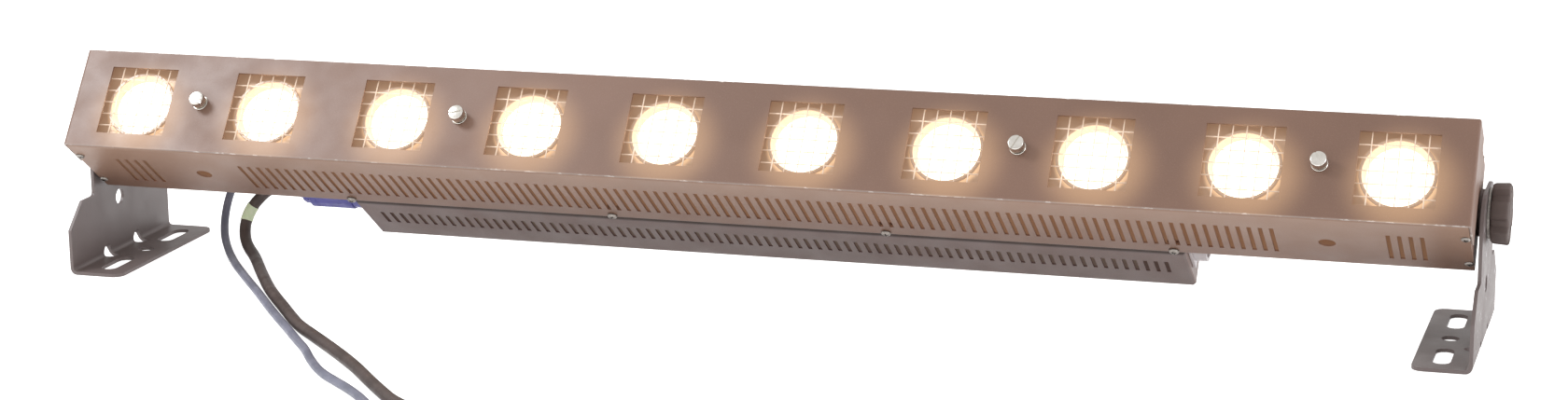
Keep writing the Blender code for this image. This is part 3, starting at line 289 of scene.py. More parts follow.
upper_turn = MAINS_CORD * 1.5 + COIL_GAP
mains_lean = math.asin((WALL_PLUG_RADIUS - upper_turn) / WALL_PLUG_MIDDLE)
mains_line, mains_end, mains_way = lead_line(
    MAINS_START, MAINS_ROUTE, MAINS_COIL, MAINS_COIL_RADIUS, MAINS_COIL_START, MAINS_COIL_LAYER,
    MAINS_CORD, MAINS_TAIL, mains_lean)
black_sheath = new_finish("black_sheath", (0.078, 0.055, 0.048), 0.5)
add_mottle(black_sheath, (0.062, 0.043, 0.037), (0.098, 0.070, 0.062), 60)
add_sheen_map(black_sheath, 150, 0.42, 0.6)
add_grain(black_sheath, 2600, 0.25, 0.0002)
mains_lead = lay_lead("mains_lead_run", mains_line, MAINS_CORD, black_sheath)
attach(mains_lead, "housing")
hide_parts("mains_lead", "mains_lead_coil")


# Data lead. A thinner grey-blue control lead beside it, with a round plug at each end,
# coiled to the left of the mains lead.

DATA_CORD = 0.006
DATA_START = Vector((-0.3686, 0.03683, 0.07728))
DATA_ROUTE = (
    (-0.3830, 0.0368, 0.0770), (-0.3970, 0.0368, 0.0736), (-0.4100, 0.0364, 0.0660),
    (-0.4200, 0.0354, 0.0550), (-0.4260, 0.0332, 0.0425), (-0.4282, 0.0290, 0.0310),
    (-0.4272, 0.0224, 0.0204), (-0.4226, 0.0130, 0.0120), (-0.4140, 0.0005, 0.0060),
    (-0.4025, -0.0160, 0.0036), (-0.3890, -0.0353, 0.0033), (-0.3675, -0.0644, 0.0033),
    (-0.3470, -0.0915, 0.0033), (-0.3314, -0.1127, 0.0033), (-0.3169, -0.1325, 0.0033),
    (-0.2988, -0.1565, 0.0033), (-0.2813, -0.1790, 0.0033), (-0.2642, -0.2017, 0.0033),
    (-0.2482, -0.2224, 0.0033), (-0.2346, -0.2430, 0.0033), (-0.2215, -0.2611, 0.0033),
    (-0.2098, -0.2745, 0.0033), (-0.1960, -0.2872, 0.0033), (-0.1792, -0.3025, 0.0033),
    (-0.1625, -0.3202, 0.0033), (-0.1485, -0.3380, 0.0033), (-0.1376, -0.3565, 0.0033),
)
DATA_COIL = (-0.166, -0.403)
DATA_COIL_RADIUS = 0.039
DATA_COIL_START = math.radians(17.5)
DATA_COIL_LAYER = 1.875
DATA_TAIL = 0.007

data_line, data_end, data_way = lead_line(
    DATA_START, DATA_ROUTE, DATA_COIL, DATA_COIL_RADIUS, DATA_COIL_START, DATA_COIL_LAYER,
    DATA_CORD, DATA_TAIL, 0.0)
grey_sheath = new_finish("grey_sheath", (0.19, 0.195, 0.26), 0.45)
add_mottle(grey_sheath, (0.155, 0.160, 0.215), (0.225, 0.230, 0.300), 60)
add_sheen_map(grey_sheath, 150, 0.38, 0.55)
add_grain(grey_sheath, 2600, 0.2, 0.0002)
data_lead = lay_lead("data_lead_run", data_line, DATA_CORD, grey_sheath)
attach(data_lead, "housing")
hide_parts("data_lead", "data_lead_coil")


# Green tape band. A short turn of pale green marking tape round the mains lead, above the floor.

def turned(name, stations, vertices=32):
    """A closed round solid about Z, drawn out from (radius, height) to (radius, height)."""
    radius, height = stations[0]
    bpy.ops.mesh.primitive_circle_add(
        vertices=vertices, radius=radius, fill_type="NGON", location=(0, 0, height))
    piece = bpy.context.object
    piece.name = name
    piece.data.name = name
    bpy.ops.object.mode_set(mode="EDIT")
    bpy.ops.mesh.select_all(action="SELECT")
    for next_radius, next_height in stations[1:]:
        rise = (0, 0, next_height - height)
        bpy.ops.mesh.extrude_region_move(TRANSFORM_OT_translate={"value": rise})
        share = next_radius / radius
        bpy.ops.transform.resize(value=(share, share, 1), center_override=(0, 0, next_height))
        radius, height = next_radius, next_height
    bpy.ops.mesh.select_all(action="SELECT")
    bpy.ops.mesh.normals_make_consistent(inside=False)
    bpy.ops.object.mode_set(mode="OBJECT")
    bpy.ops.object.transform_apply(location=True, rotation=True, scale=True)
    return piece


def make_active(piece):
    bpy.ops.object.select_all(action="DESELECT")
    piece.select_set(True)
    bpy.context.view_layer.objects.active = piece


def settle(piece, place, smooth=40):
    """Takes a piece to its place, with the place in its mesh."""
    make_active(piece)
    piece.matrix_world = place
    bpy.ops.object.transform_apply(location=True, rotation=True, scale=True)
    if smooth:
        bpy.ops.object.shade_smooth_by_angle(angle=math.radians(smooth))
    return piece


def dress(piece, finish, body, slot, *nodes):
    if finish:
        piece.data.materials.clear()
        piece.data.materials.append(finish)
    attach(piece, body)
    if nodes:
        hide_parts(*nodes)
    return piece


def sleeve(name, line, inner, outer):
    """A closed tube wall round a line."""
    make_active(curve_along(name, line, inner, 6))
    bpy.ops.object.convert(target="MESH")
    piece = bpy.context.object
    wall = piece.modifiers.new("wall", "SOLIDIFY")
    wall.thickness = outer - inner
    wall.offset = 1
    bpy.ops.object.modifier_apply(modifier="wall")
    bpy.ops.object.shade_smooth_by_angle(angle=math.radians(40))
    return piece


def stretch_of(line, start, length):
    """The part of a line from this distance along it."""
    walked = 0.0
    part = []
    for a, b in zip(line, line[1:]):
        step = (b - a).length
        if walked + step >= start and walked <= start + length:
            part.append(a)
        walked += step
    return part


TAPE_START = 0.041
TAPE_WIDTH = 0.012
TAPE_THICK = 0.00035

green_tape = new_finish("green_tape", (0.84, 0.95, 0.68), 0.55)
add_mottle(green_tape, (0.80, 0.97, 0.60), (0.92, 1.00, 0.74), 220)
add_grain(green_tape, 1500, 0.2, 0.0002)
tape = sleeve("mains_tape_band", stretch_of(mains_line, TAPE_START, TAPE_WIDTH),
              MAINS_CORD / 2, MAINS_CORD / 2 + TAPE_THICK)
dress(tape, green_tape, "housing", "grey_sheath")


# Coil ties. A narrow black cable tie round each coil of lead, with its head on top.

TIE_WIDTH = 0.0046
TIE_THICK = 0.00022
TIE_HEAD = (0.0062, 0.0066, 0.0034)


def tie_coil(name, centre, inner, outer, top, angle, finish):
    bpy.ops.mesh.primitive_cube_add(size=1)
    tie = bpy.context.object
    tie.name = name
    tie.scale = (outer - inner, TIE_WIDTH, top)
    bpy.ops.object.transform_apply(location=False, rotation=False, scale=True)
    bpy.ops.object.mode_set(mode="EDIT")
    chosen = bmesh.from_edit_mesh(tie.data)
    for face in chosen.faces:
        face.select_set(abs(face.normal.y) > 0.9)
    bpy.ops.mesh.delete(type="FACE")
    chosen = bmesh.from_edit_mesh(tie.data)
    for edge in chosen.edges:
        way = (edge.verts[0].co - edge.verts[1].co).normalized()
        edge.select_set(abs(way.y) > 0.9)
    bmesh.update_edit_mesh(tie.data)
    bpy.ops.mesh.bevel(offset=0.0025, segments=5, affect="EDGES")
    bpy.ops.object.mode_set(mode="OBJECT")
    wall = tie.modifiers.new("wall", "SOLIDIFY")
    wall.thickness = TIE_THICK
    wall.offset = 0
    bpy.ops.object.modifier_apply(modifier="wall")
    bpy.ops.mesh.primitive_cube_add(size=1, location=(0, 0, top / 2 + 0.0018))
    head = bpy.context.object
    head.scale = TIE_HEAD
    bpy.ops.object.transform_apply(location=True, rotation=False, scale=True)
    edge_round = head.modifiers.new("edge", "BEVEL")
    edge_round.width = 0.0006
    edge_round.segments = 2
    bpy.ops.object.modifier_apply(modifier="edge")
    tie.select_set(True)
    bpy.context.view_layer.objects.active = tie
    bpy.ops.object.join()
    middle = (inner + outer) / 2
    place = Matrix.Translation((centre[0], centre[1], top / 2 + 0.00014)) @ Matrix.Rotation(angle, 4, "Z")
    settle(tie, place @ Matrix.Translation((middle, 0, 0)))
    return dress(tie, finish, "housing", "black_plastic")


black_nylon = new_finish("black_nylon", (0.03, 0.03, 0.03), 0.4)
add_sheen_map(black_nylon, 300, 0.3, 0.5)
add_grain(black_nylon, 1800, 0.15, 0.0001)
mains_tie = tie_coil("mains_coil_tie", MAINS_COIL, 0.0335, 0.0575, 0.0178, math.radians(200), black_nylon)
data_tie = tie_coil("data_coil_tie", DATA_COIL, 0.0225, 0.0435, 0.0130, math.radians(190), black_nylon)


# Twist-lock mains plug. A blue moulded plug in the left end of the electronics housing, with a fluted
# grip and a gland nut round the lead.

TOUCH = 0.0003

blue_plastic = new_finish("blue_plastic", (0.16, 0.16, 0.52), 0.35)
add_mottle(blue_plastic, (0.140, 0.142, 0.48), (0.185, 0.182, 0.57), 90)
add_sheen_map(blue_plastic, 200, 0.3, 0.45)
add_grain(blue_plastic, 1400, 0.12, 0.0002)

twist_plug = turned("twist_lock_plug", [
    (0.0062, 0.0), (0.0070, 0.0008), (0.0090, 0.0100), (0.0112, 0.0102), (0.0118, 0.0110),
    (0.0118, 0.0150), (0.0112, 0.0158), (0.0128, 0.0160), (0.0140, 0.0172), (0.0140, 0.0215),
    (0.01395, 0.0220), (0.01395, 0.0420), (0.0140, 0.0425), (0.0140, 0.0492), (0.0134, 0.0500),
    (0.0102, 0.0502), (0.0102, 0.0672), (0.0096, 0.0680),
], 72)
for point in twist_plug.data.vertices:
    if 0.0216 < point.co.z < 0.0424:
        turn = math.atan2(point.co.y, point.co.x)
        point.co.xy *= 1 - 0.055 * (0.5 + 0.5 * math.cos(18 * turn))
    elif 0.0101 < point.co.z < 0.0159:
        turn = math.atan2(point.co.y, point.co.x)
        point.co.xy *= 1 - 0.04 * (0.5 + 0.5 * math.cos(12 * turn))
plug_place = Matrix.Translation(MAINS_START + Vector((TOUCH, 0, 0)))
settle(twist_plug, plug_place @ Matrix.Rotation(math.pi / 2, 4, "Y"))
dress(twist_plug, blue_plastic, "housing", "blue_plastic", "mains_twist_plug")


# Wall plug. A black moulded mains plug with two round pins, at the far end of the mains lead.

def along(way):
    return Vector((0, 0, 1)).rotation_difference(way).to_matrix().to_4x4()


black_rubber = new_finish("black_rubber", (0.035, 0.034, 0.033), 0.55)
add_mottle(black_rubber, (0.028, 0.027, 0.026), (0.045, 0.043, 0.042), 80)
add_sheen_map(black_rubber, 160, 0.45, 0.65)
add_grain(black_rubber, 1600, 0.25, 0.0003)
bright_nickel = new_finish("bright_nickel", (0.80, 0.77, 0.72), 0.22, metallic=1.0)
add_mottle(bright_nickel, (0.72, 0.69, 0.64), (0.86, 0.83, 0.78), 140)
add_sheen_map(bright_nickel, 700, 0.16, 0.32)

wall_plug = turned("wall_plug_body", [
    (0.0052, 0.0), (0.0056, 0.0006), (0.0060, 0.0060), (0.0054, 0.0064), (0.0062, 0.0100),
    (0.0056, 0.0104), (0.0068, 0.0150), (0.0062, 0.0154), (0.0083, 0.0200), (0.0125, 0.0270),
    (0.0155, 0.0320), (0.0178, 0.0368), (0.0183, 0.0384), (0.0183, 0.0564), (0.0178, 0.0577),
    (0.0168, 0.0580), (0.0160, 0.0580), (0.0155, 0.0572),
], 48)
pins = []
for side in (-1, 1):
    pin = turned("pin", [
        (0.0022, 0.0560), (0.0024, 0.0565), (0.0024, 0.0750), (0.0019, 0.0768), (0.0010, 0.0770),
    ], 20)
    pin.data.materials.append(bright_nickel)
    settle(pin, Matrix.Translation((side * 0.0095, 0, 0)))
    pins.append(pin)
wall_plug.data.materials.append(black_rubber)
make_active(wall_plug)
for pin in pins:
    pin.select_set(True)
bpy.ops.object.join()
settle(wall_plug, Matrix.Translation(mains_end + mains_way * TOUCH) @ along(mains_way))
dress(wall_plug, None, "housing", "black_plastic", "wall_plug")


# Data plugs. A round nickel-shelled plug with a black ribbed boot at each end of the data lead.

def make_data_plug(name, start, way, node):
    shell = turned(name, [
        (0.0060, 0.0176), (0.0092, 0.0178), (0.0095, 0.0184), (0.0095, 0.0300), (0.0092, 0.0304),
        (0.0092, 0.0312), (0.0095, 0.0316), (0.0095, 0.0515), (0.0092, 0.0520), (0.0079, 0.0521),
        (0.0079, 0.0636), (0.0076, 0.0640), (0.0071, 0.0640), (0.0071, 0.0560), (0.0060, 0.0560),
    ], 40)
    shell.data.materials.append(bright_nickel)
    boot = turned("boot", [
        (0.0035, 0.0), (0.0041, 0.0006), (0.0044, 0.0030), (0.0039, 0.0033), (0.0047, 0.0060),
        (0.0042, 0.0063), (0.0052, 0.0100), (0.0047, 0.0103), (0.0060, 0.0140), (0.0086, 0.0172),
        (0.0086, 0.0177), (0.0060, 0.0180),
    ], 32)
    boot.data.materials.append(black_rubber)
    make_active(shell)
    boot.select_set(True)
    bpy.ops.object.join()
    settle(shell, Matrix.Translation(start) @ along(way))
    return dress(shell, None, "housing", "nickel", node)


near_plug = make_data_plug("data_plug_housing_end", DATA_START + Vector((TOUCH, 0, 0)), Vector((1, 0, 0)),
                           "data_plug_near")
far_plug = make_data_plug("data_plug_coil_end", data_end + data_way * TOUCH, data_way, "data_plug_far")


# Folded housing. One length of sheet steel folded into a channel, with rows of vent slots and two
# rigging holes in its floor and roof, in a fine mauve-brown powder coat.

def joint_called(name):
    return next(joint for joint in frame["joints"] if joint["name"] == name)


lift_off = Vector(joint_called("front_panel_off")["axis"])
face_middle = joint_called("thumb_screw_1_turn")["pos_m"]
TILT = math.atan2(lift_off.z, -lift_off.y)
BAR = Matrix.Translation((0, face_middle[1], face_middle[2])) @ Matrix.Rotation(-TILT, 4, "X")
HALF_HEIGHT = 0.038
HALF_LENGTH = 0.5
BAR_DEPTH = 0.074
SKIN = 0.0011
COAT = (0.226, 0.124, 0.085)
COVER_COAT = (0.156, 0.096, 0.084)
COAT_SPECULAR = 0.7
DARK = (0, 0, 0)


def bar_axes(finish):
    """Coordinates along, behind and up the bar's face, from the middle of the face."""
    place = add_node(finish, "ShaderNodeTexCoord")
    turn = add_node(finish, "ShaderNodeMapping", Vector=place.outputs["Object"])
    back = BAR.inverted()
    turn.inputs["Location"].default_value = back.to_translation()
    turn.inputs["Rotation"].default_value = back.to_euler()
    axes = add_node(finish, "ShaderNodeSeparateXYZ", Vector=turn.outputs["Vector"])
    return axes.outputs["X"], axes.outputs["Y"], axes.outputs["Z"]


def closeness(finish, coordinate, value, width):
    """1 where a coordinate has this value, falling to 0 at this distance from it."""
    apart = maths(finish, "SUBTRACT", coordinate, value)
    share = maths(finish, "DIVIDE", maths(finish, "ABSOLUTE", apart), width)
    near = maths(finish, "SUBTRACT", 1.0, share)
    return maths(finish, "MAXIMUM", near, 0.0)


def mix_colour(finish, share, first, second):
    mix = add_node(finish, "ShaderNodeMix", {"data_type": "RGBA"})
    links = finish.node_tree.links
    links.new(share, mix.inputs[0])
    for socket, value in ((mix.inputs[6], first), (mix.inputs[7], second)):
        if isinstance(value, bpy.types.NodeSocket):
            links.new(value, socket)
        else:
            socket.default_value = (*value, 1)
    return mix.outputs[2]


def powder_coat(name, colour=COAT):
    """Fine-textured satin powder coat; returns the finish and its colour."""
    finish = new_finish(name, colour, 0.45, specular=COAT_SPECULAR)
    drift = add_mottle(finish, [c * 0.93 for c in colour], [c * 1.07 for c in colour], 9, detail=6.0)
    fleck = spread_of(finish, noise_of(finish, 1500, 2.0), (0.55, 0.75), (0.0, 0.22))
    flecked = mix_colour(finish, fleck, drift, (0.36, 0.24, 0.19))
    wire_up(finish, flecked, "Base Color")
    add_sheen_map(finish, 40, 0.36, 0.50)
    add_grain(finish, 1300, 0.3, 0.00025)
    return finish, flecked


MARK_START = 0.93
MARK_CRISPNESS = 14.0
MARK_COVER = 0.85


def wear_and_painted_highlight(finish, colour, edges, amount=0.5, tone=(0.80, 0.76, 0.72)):
    """Pale chips along edges, both as rubbed paint and as painted highlights; each edge is a 0 to 1
    closeness.
    """
    near = edges[0]
    for edge in edges[1:]:
        near = maths(finish, "MAXIMUM", near, edge)
    level = maths(finish, "MULTIPLY", near, amount)
    level = maths(finish, "ADD", level, noise_of(finish, 190, 6.0))
    level = maths(finish, "SUBTRACT", level, MARK_START)
    level = maths(finish, "MULTIPLY", level, MARK_CRISPNESS)
    level = maths(finish, "MINIMUM", maths(finish, "MAXIMUM", level, 0.0), 1.0)
    marked = mix_colour(finish, maths(finish, "MULTIPLY", level, MARK_COVER), colour, tone)
    wire_up(finish, marked, "Base Color")
    return marked


def node_piece(name):
    return frame["nodes"][name]


def coat_node(name, finish):
    mesh = node_piece(name).data
    mesh.materials.clear()
    mesh.materials.append(finish)


housing_coat, housing_colour = powder_coat("housing_coat")
behind, up = bar_axes(housing_coat)[1:]
corner = maths(housing_coat, "MULTIPLY", closeness(housing_coat, up, -HALF_HEIGHT, 0.0012),
               closeness(housing_coat, behind, BAR_DEPTH + 0.0002, 0.0016))
wear_and_painted_highlight(housing_coat, housing_colour, [corner], 0.55)
# Painted lamp light: the channel's inside faces glow a steady warm brown, and its outer floor and roof
# glow warm near the panel, fading out 6 cm behind it.
lit_height = maths(housing_coat, "LESS_THAN", maths(housing_coat, "ABSOLUTE", up), HALF_HEIGHT - 0.0013)
lit_depth = maths(housing_coat, "LESS_THAN", behind, BAR_DEPTH - SKIN)
inside = maths(housing_coat, "MULTIPLY", lit_height, lit_depth)
painted_glow_near_panel = mix_colour(housing_coat, closeness(housing_coat, behind, 0.0, 0.06), DARK, (0.11, 0.075, 0.052))
light_up(housing_coat, mix_colour(housing_coat, inside, painted_glow_near_panel, (0.10, 0.064, 0.040)), 1.0)
coat_node("housing_channel", housing_coat)


# Front panel. A lift-off sheet with ten square windows and folded ends, held by four thumb screws.
# Its paint is chipped along the long edges and the left end; a pale painted highlight runs along its
# low fold, and a warm glow of painted lamp light lies round each window.

LAMP_PITCH = 0.1
LAMP_DROP = 0.001
GLOW_ASIDE = 0.45


def lamp_glow_share(finish, along, rise, lower, near, far):
    """1 near each lamp and 0 beyond the far radius, from a centre this much lower and a little right."""
    apart = maths(finish, "ADD", along, LAMP_PITCH * 5 - lower * GLOW_ASIDE)
    apart = maths(finish, "PINGPONG", apart, LAMP_PITCH / 2)
    apart = maths(finish, "SUBTRACT", LAMP_PITCH / 2, apart)
    above = maths(finish, "ADD", rise, LAMP_DROP + lower)
    squares = maths(finish, "ADD", maths(finish, "MULTIPLY", apart, apart),
                    maths(finish, "MULTIPLY", above, above))
    return spread_of(finish, maths(finish, "SQRT", squares), (near, far), (1.0, 0.0), "SMOOTHERSTEP")


panel_coat, panel_colour = powder_coat("panel_coat")
along_bar, behind, up = bar_axes(panel_coat)
top_edge = closeness(panel_coat, up, HALF_HEIGHT, 0.0019)
low_edge = maths(panel_coat, "MULTIPLY", closeness(panel_coat, up, -HALF_HEIGHT, 0.0018), 0.9)
left_edge = closeness(panel_coat, along_bar, -HALF_LENGTH, 0.0010)
worn_panel = wear_and_painted_highlight(panel_coat, panel_colour, [top_edge, low_edge, left_edge], 0.42)
# A painted highlight: a thin pale line along the panel's low fold.
painted_fold_highlight = maths(panel_coat, "MULTIPLY", closeness(panel_coat, up, -HALF_HEIGHT, 0.0009), 0.45)
wire_up(panel_coat, mix_colour(panel_coat, painted_fold_highlight, worn_panel, (0.56, 0.48, 0.44)), "Base Color")
# Painted lamp light: a warm glow on the panel's face round each window, centred a little below and right
# of each lamp.
glow = lamp_glow_share(panel_coat, along_bar, up, lower=0.009, near=0.012, far=0.050)
front_only = maths(panel_coat, "LESS_THAN", behind, 0.0008)
painted_lamp_bloom = maths(panel_coat, "MULTIPLY", glow, front_only)
light_up(panel_coat, mix_colour(panel_coat, painted_lamp_bloom, DARK, (0.46, 0.28, 0.14)), 0.68)
coat_node("front_panel", panel_coat)


# Wire guards. A welded grid of bright 0.9 mm wire behind each window, on a strip of sheet that lifts
# off with the front panel.

WIRE = 0.00045
WIRE_HALF = 0.030
WIRE_STEPS = (-0.0184, -0.0092, 0, 0.0092, 0.0184)
UPRIGHT_DEPTH = 0.0031
CROSSWISE_DEPTH = 0.0040

guard_wire = new_finish("guard_wire", (0.82, 0.70, 0.58), 0.35, metallic=0.25)
add_mottle(guard_wire, (0.74, 0.61, 0.49), (0.88, 0.77, 0.65), 300)
# The wires glow warm: painted lamp light.
light_up(guard_wire, (0.62, 0.44, 0.32, 1), 0.45)
add_sheen_map(guard_wire, 900, 0.28, 0.45)
guard_sheet = new_finish("guard_sheet", (0.50, 0.38, 0.28), 0.4, metallic=0.5)
add_mottle(guard_sheet, (0.42, 0.32, 0.23), (0.56, 0.44, 0.33), 50)
add_sheen_map(guard_sheet, 300, 0.32, 0.5)
coat_node("guard_strip", guard_sheet)


def add_wire(place, upright):
    bpy.ops.mesh.primitive_cylinder_add(vertices=10, radius=WIRE, depth=2 * WIRE_HALF)
    wire = bpy.context.object
    bpy.ops.object.mode_set(mode="EDIT")
    chosen = bmesh.from_edit_mesh(wire.data)
    for edge in chosen.edges:
        edge.select_set(abs(edge.verts[0].co.z - edge.verts[1].co.z) < 1e-6)
    bmesh.update_edit_mesh(wire.data)
    bpy.ops.mesh.bevel(offset=0.00015, segments=1, affect="EDGES")
    bpy.ops.object.mode_set(mode="OBJECT")
    turn = Matrix.Identity(4) if upright else Matrix.Rotation(math.pi / 2, 4, "Y")
    return settle(wire, Matrix.Translation(place) @ turn, 60)


def join_all(name, pieces):
    make_active(pieces[0])
    for piece in pieces[1:]:
        piece.select_set(True)
    bpy.ops.object.join()
    whole = bpy.context.object
    whole.name = name
    whole.data.name = name
    return whole


def copy_of(piece, name):
    other = piece.copy()
    other.data = piece.data.copy()
    other.name = name
    other.data.name = name
    bpy.context.scene.collection.objects.link(other)
    return other


lamp_places = [(i - 4.5) * LAMP_PITCH for i in range(10)]
wires = [add_wire((step, UPRIGHT_DEPTH, 0), True) for step in WIRE_STEPS]
wires += [add_wire((0, CROSSWISE_DEPTH, step), False) for step in WIRE_STEPS]
first_guard = join_all("guard_wires_01", wires)
guards = [first_guard] + [copy_of(first_guard, f"guard_wires_{i:02d}") for i in range(2, 11)]
for place, guard in zip(lamp_places, guards):
    settle(guard, BAR @ Matrix.Translation((place, 0, -LAMP_DROP)), 60)
    dress(guard, guard_wire, "front_panel", "tray_steel")


# Lamp tray. A pressed sheet behind the guards with a round hole for each lamp's rim; bare and satin,
# with painted lamp light on it: a dim warm glow all over and a bright fringe round each rim.

tray_steel = new_finish("tray_steel", (0.44, 0.32, 0.23), 0.42, metallic=0.25)
add_mottle(tray_steel, (0.38, 0.275, 0.195), (0.50, 0.37, 0.27), 45)
add_sheen_map(tray_steel, 250, 0.35, 0.52)
add_grain(tray_steel, 900, 0.1, 0.0002)
along_bar, _, up = bar_axes(tray_steel)
painted_rim_fringe = lamp_glow_share(tray_steel, along_bar, up, lower=0.0012, near=0.0235, far=0.0290)
# Painted lamp light: a dim warm glow over the whole tray and a bright fringe round each lamp's rim.
light_up(tray_steel, mix_colour(tray_steel, painted_rim_fringe, (0.19, 0.112, 0.068), (0.80, 0.53, 0.31)), 1.0)
coat_node("lamp_tray", tray_steel)


# Lamps. Ten 50 mm reflector lamps with a bowl, a quartz capsule and a clear front glass, all lit;
# each bowl ends in a ceramic neck.

def lit_finish(name, colour, roughness, scale, dark, pale, strength):
    """A surface that shines by itself, in a colour that ripples between two tones."""
    finish = new_finish(name, colour, roughness)
    light_up(finish, mix_colour(finish, noise_of(finish, scale, 2.0), dark, pale), strength)
    return finish


lamp_glow = lit_finish("lamp_glow", (1.0, 0.9, 0.75), 0.3, 220,
                       (1.0, 0.86, 0.66), (1.0, 0.95, 0.84), 1.8)
lamp_rim = lit_finish("lamp_rim", (0.36, 0.26, 0.20), 0.2, 400,
                      (0.90, 0.58, 0.36), (1.0, 0.72, 0.50), 0.30)
lamp_edge = lit_finish("lamp_edge", (0.26, 0.17, 0.10), 0.2, 400,
                       (1.0, 0.70, 0.42), (1.0, 0.82, 0.58), 0.9)
lamp_shell = lit_finish("lamp_shell", (0.75, 0.55, 0.38), 0.15, 60,
                        (1.0, 0.52, 0.26), (1.0, 0.68, 0.40), 1.0)
ceramic = new_finish("ceramic", (0.80, 0.77, 0.70), 0.75)
add_mottle(ceramic, (0.74, 0.70, 0.62), (0.84, 0.81, 0.75), 120)
add_grain(ceramic, 1500, 0.25, 0.0003)
add_sheen_map(ceramic, 200, 0.65, 0.85)
front_glass = new_finish("front_glass", (1.0, 0.97, 0.93), 0.05, specular=0.6)
wire_up(front_glass, 0.10, "Alpha")

BOWL = [
    (0.0035, 0.0262), (0.0085, 0.0240), (0.0135, 0.0205), (0.0180, 0.0160), (0.0208, 0.0122),
    (0.0229, 0.0075),
]
RIM = [
    (0.0232, 0.0066), (0.0234, 0.0060), (0.0250, 0.0060), (0.02535, 0.0064), (0.02535, 0.0084),
    (0.0243, 0.0090),
]
BACK = [
    (0.0240, 0.0115), (0.0223, 0.0160), (0.0192, 0.0215), (0.0150, 0.0268), (0.0108, 0.0315),
    (0.0094, 0.0345), (0.0094, 0.0440), (0.0086, 0.0455), (0.0078, 0.0468),
]
GLOW_SLOT, RIM_SLOT, SHELL_SLOT, NECK_SLOT, EDGE_SLOT = range(5)


def lamp_slot(radius, depth, facing):
    """Which finish a face of the lamp gets, by its distance from the axis, its depth and its normal."""
    if depth > 0.0340:
        return NECK_SLOT
    if radius > 0.0251 and depth < 0.0070:
        return EDGE_SLOT
    if radius > 0.0230 and depth < 0.0092:
        return RIM_SLOT
    if radius > 0.0210 and depth < 0.0125 and facing < 0.3:
        return EDGE_SLOT
    if facing < 0 and radius < 0.0231 and depth < 0.0265:
        return GLOW_SLOT
    return SHELL_SLOT


def make_lamp():
    body = turned("lamp", BOWL + RIM + BACK, 40)
    for finish in (lamp_glow, lamp_rim, lamp_shell, ceramic, lamp_edge):
        body.data.materials.append(finish)
    for face in body.data.polygons:
        face.material_index = lamp_slot(Vector(face.center[:2]).length, face.center.z, face.normal.z)
    capsule = turned("capsule", [
        (0.0040, 0.0262), (0.0046, 0.0250), (0.0046, 0.0160), (0.0036, 0.0130), (0.0018, 0.0116),
        (0.0006, 0.0112),
    ], 20)
    capsule.data.materials.append(lamp_glow)
    glass = turned("glass", [(0.0231, 0.0066), (0.0233, 0.0067), (0.0233, 0.0074), (0.0231, 0.0075)], 40)
    glass.data.materials.append(front_glass)
    return join_all("lamp", [body, capsule, glass])


first_lamp = make_lamp()
lamps = [first_lamp] + [copy_of(first_lamp, f"lamp_body_{i:02d}") for i in range(2, 11)]
first_lamp.name = "lamp_body_01"
face_back = Matrix.Rotation(-math.pi / 2, 4, "X")
for number, (place, lamp) in enumerate(zip(lamp_places, lamps), start=1):
    settle(lamp, BAR @ Matrix.Translation((place, 0, -LAMP_DROP)) @ face_back, 30)
    dress(lamp, None, "housing", "lamp_glass", f"lamp_{number:02d}")
for number in range(1, 11):
    coat_node(f"lampholder_{number:02d}", ceramic)


# Thumb screws. Four turned and plated screws that hold the front panel, each with a knurled head,
# a driver slot, a narrow neck and a collar that bears on the panel.

def cut_away(piece, cutter):
    """Takes the cutter's shape out of a piece."""
    make_active(piece)
    cut = piece.modifiers.new("cut", "BOOLEAN")
    cut.operation = "DIFFERENCE"
    cut.solver = "EXACT"
    cut.object = cutter
    bpy.ops.object.modifier_apply(modifier="cut")
    bpy.data.objects.remove(cutter)


def block(size, place, turn=0.0):
    bpy.ops.mesh.primitive_cube_add(size=1, location=place, rotation=(0, 0, turn))
    solid = bpy.context.object
    solid.scale = size
    bpy.ops.object.transform_apply(location=True, rotation=True, scale=True)
    return solid


def make_thumb_screw():
    screw = turned("thumb_screw", [
        (0.0019, -0.0130), (0.0020, -0.0126), (0.0020, 0.0), (0.0054, 0.0), (0.0056, 0.0002),
        (0.0056, 0.0008), (0.0054, 0.0010), (0.0036, 0.0011), (0.0036, 0.0027), (0.0049, 0.0028),
        (0.0053, 0.0031), (0.0053, 0.0034), (0.0053, 0.0082), (0.0053, 0.0085), (0.0049, 0.0089),
        (0.0046, 0.0090),
    ], 64)
    for point in screw.data.vertices:
        if 0.0033 < point.co.z < 0.0083 and Vector(point.co[:2]).length > 0.0050:
            turn = math.atan2(point.co.y, point.co.x)
            point.co.xy *= 1 - 0.035 * (0.5 + 0.5 * math.cos(32 * turn))
    cut_away(screw, block((0.0013, 0.014, 0.0024), (0, 0, 0.0090)))
    screw.data.materials.append(bright_nickel)
    return screw


first_screw = make_thumb_screw()
thumb_screws = [first_screw] + [copy_of(first_screw, f"thumb_screw_body_{i}") for i in (2, 3, 4)]
first_screw.name = "thumb_screw_body_1"
for number, screw in enumerate(thumb_screws, start=1):
    place = joint_called(f"thumb_screw_{number}_turn")["pos_m"]
    outwards = Matrix.Translation((place[0], -TOUCH, 0)) @ Matrix.Rotation(math.pi / 2, 4, "X")
    settle(screw, BAR @ outwards @ Matrix.Rotation(0.9 * number, 4, "Z"), 30)
    dress(screw, bright_nickel, f"thumb_screw_{number}", "nickel", f"thumb_screw_{number}")


# End caps. Two flanged plates inside the ends of the housing, with a welded nut for the swivel bolt;
# eight cross-recessed screws hold their flanges to the floor and the roof.

cap_coat = powder_coat("cap_coat")[0]
for name in ("left_end_cap", "right_end_cap"):
    coat_node(name, cap_coat)

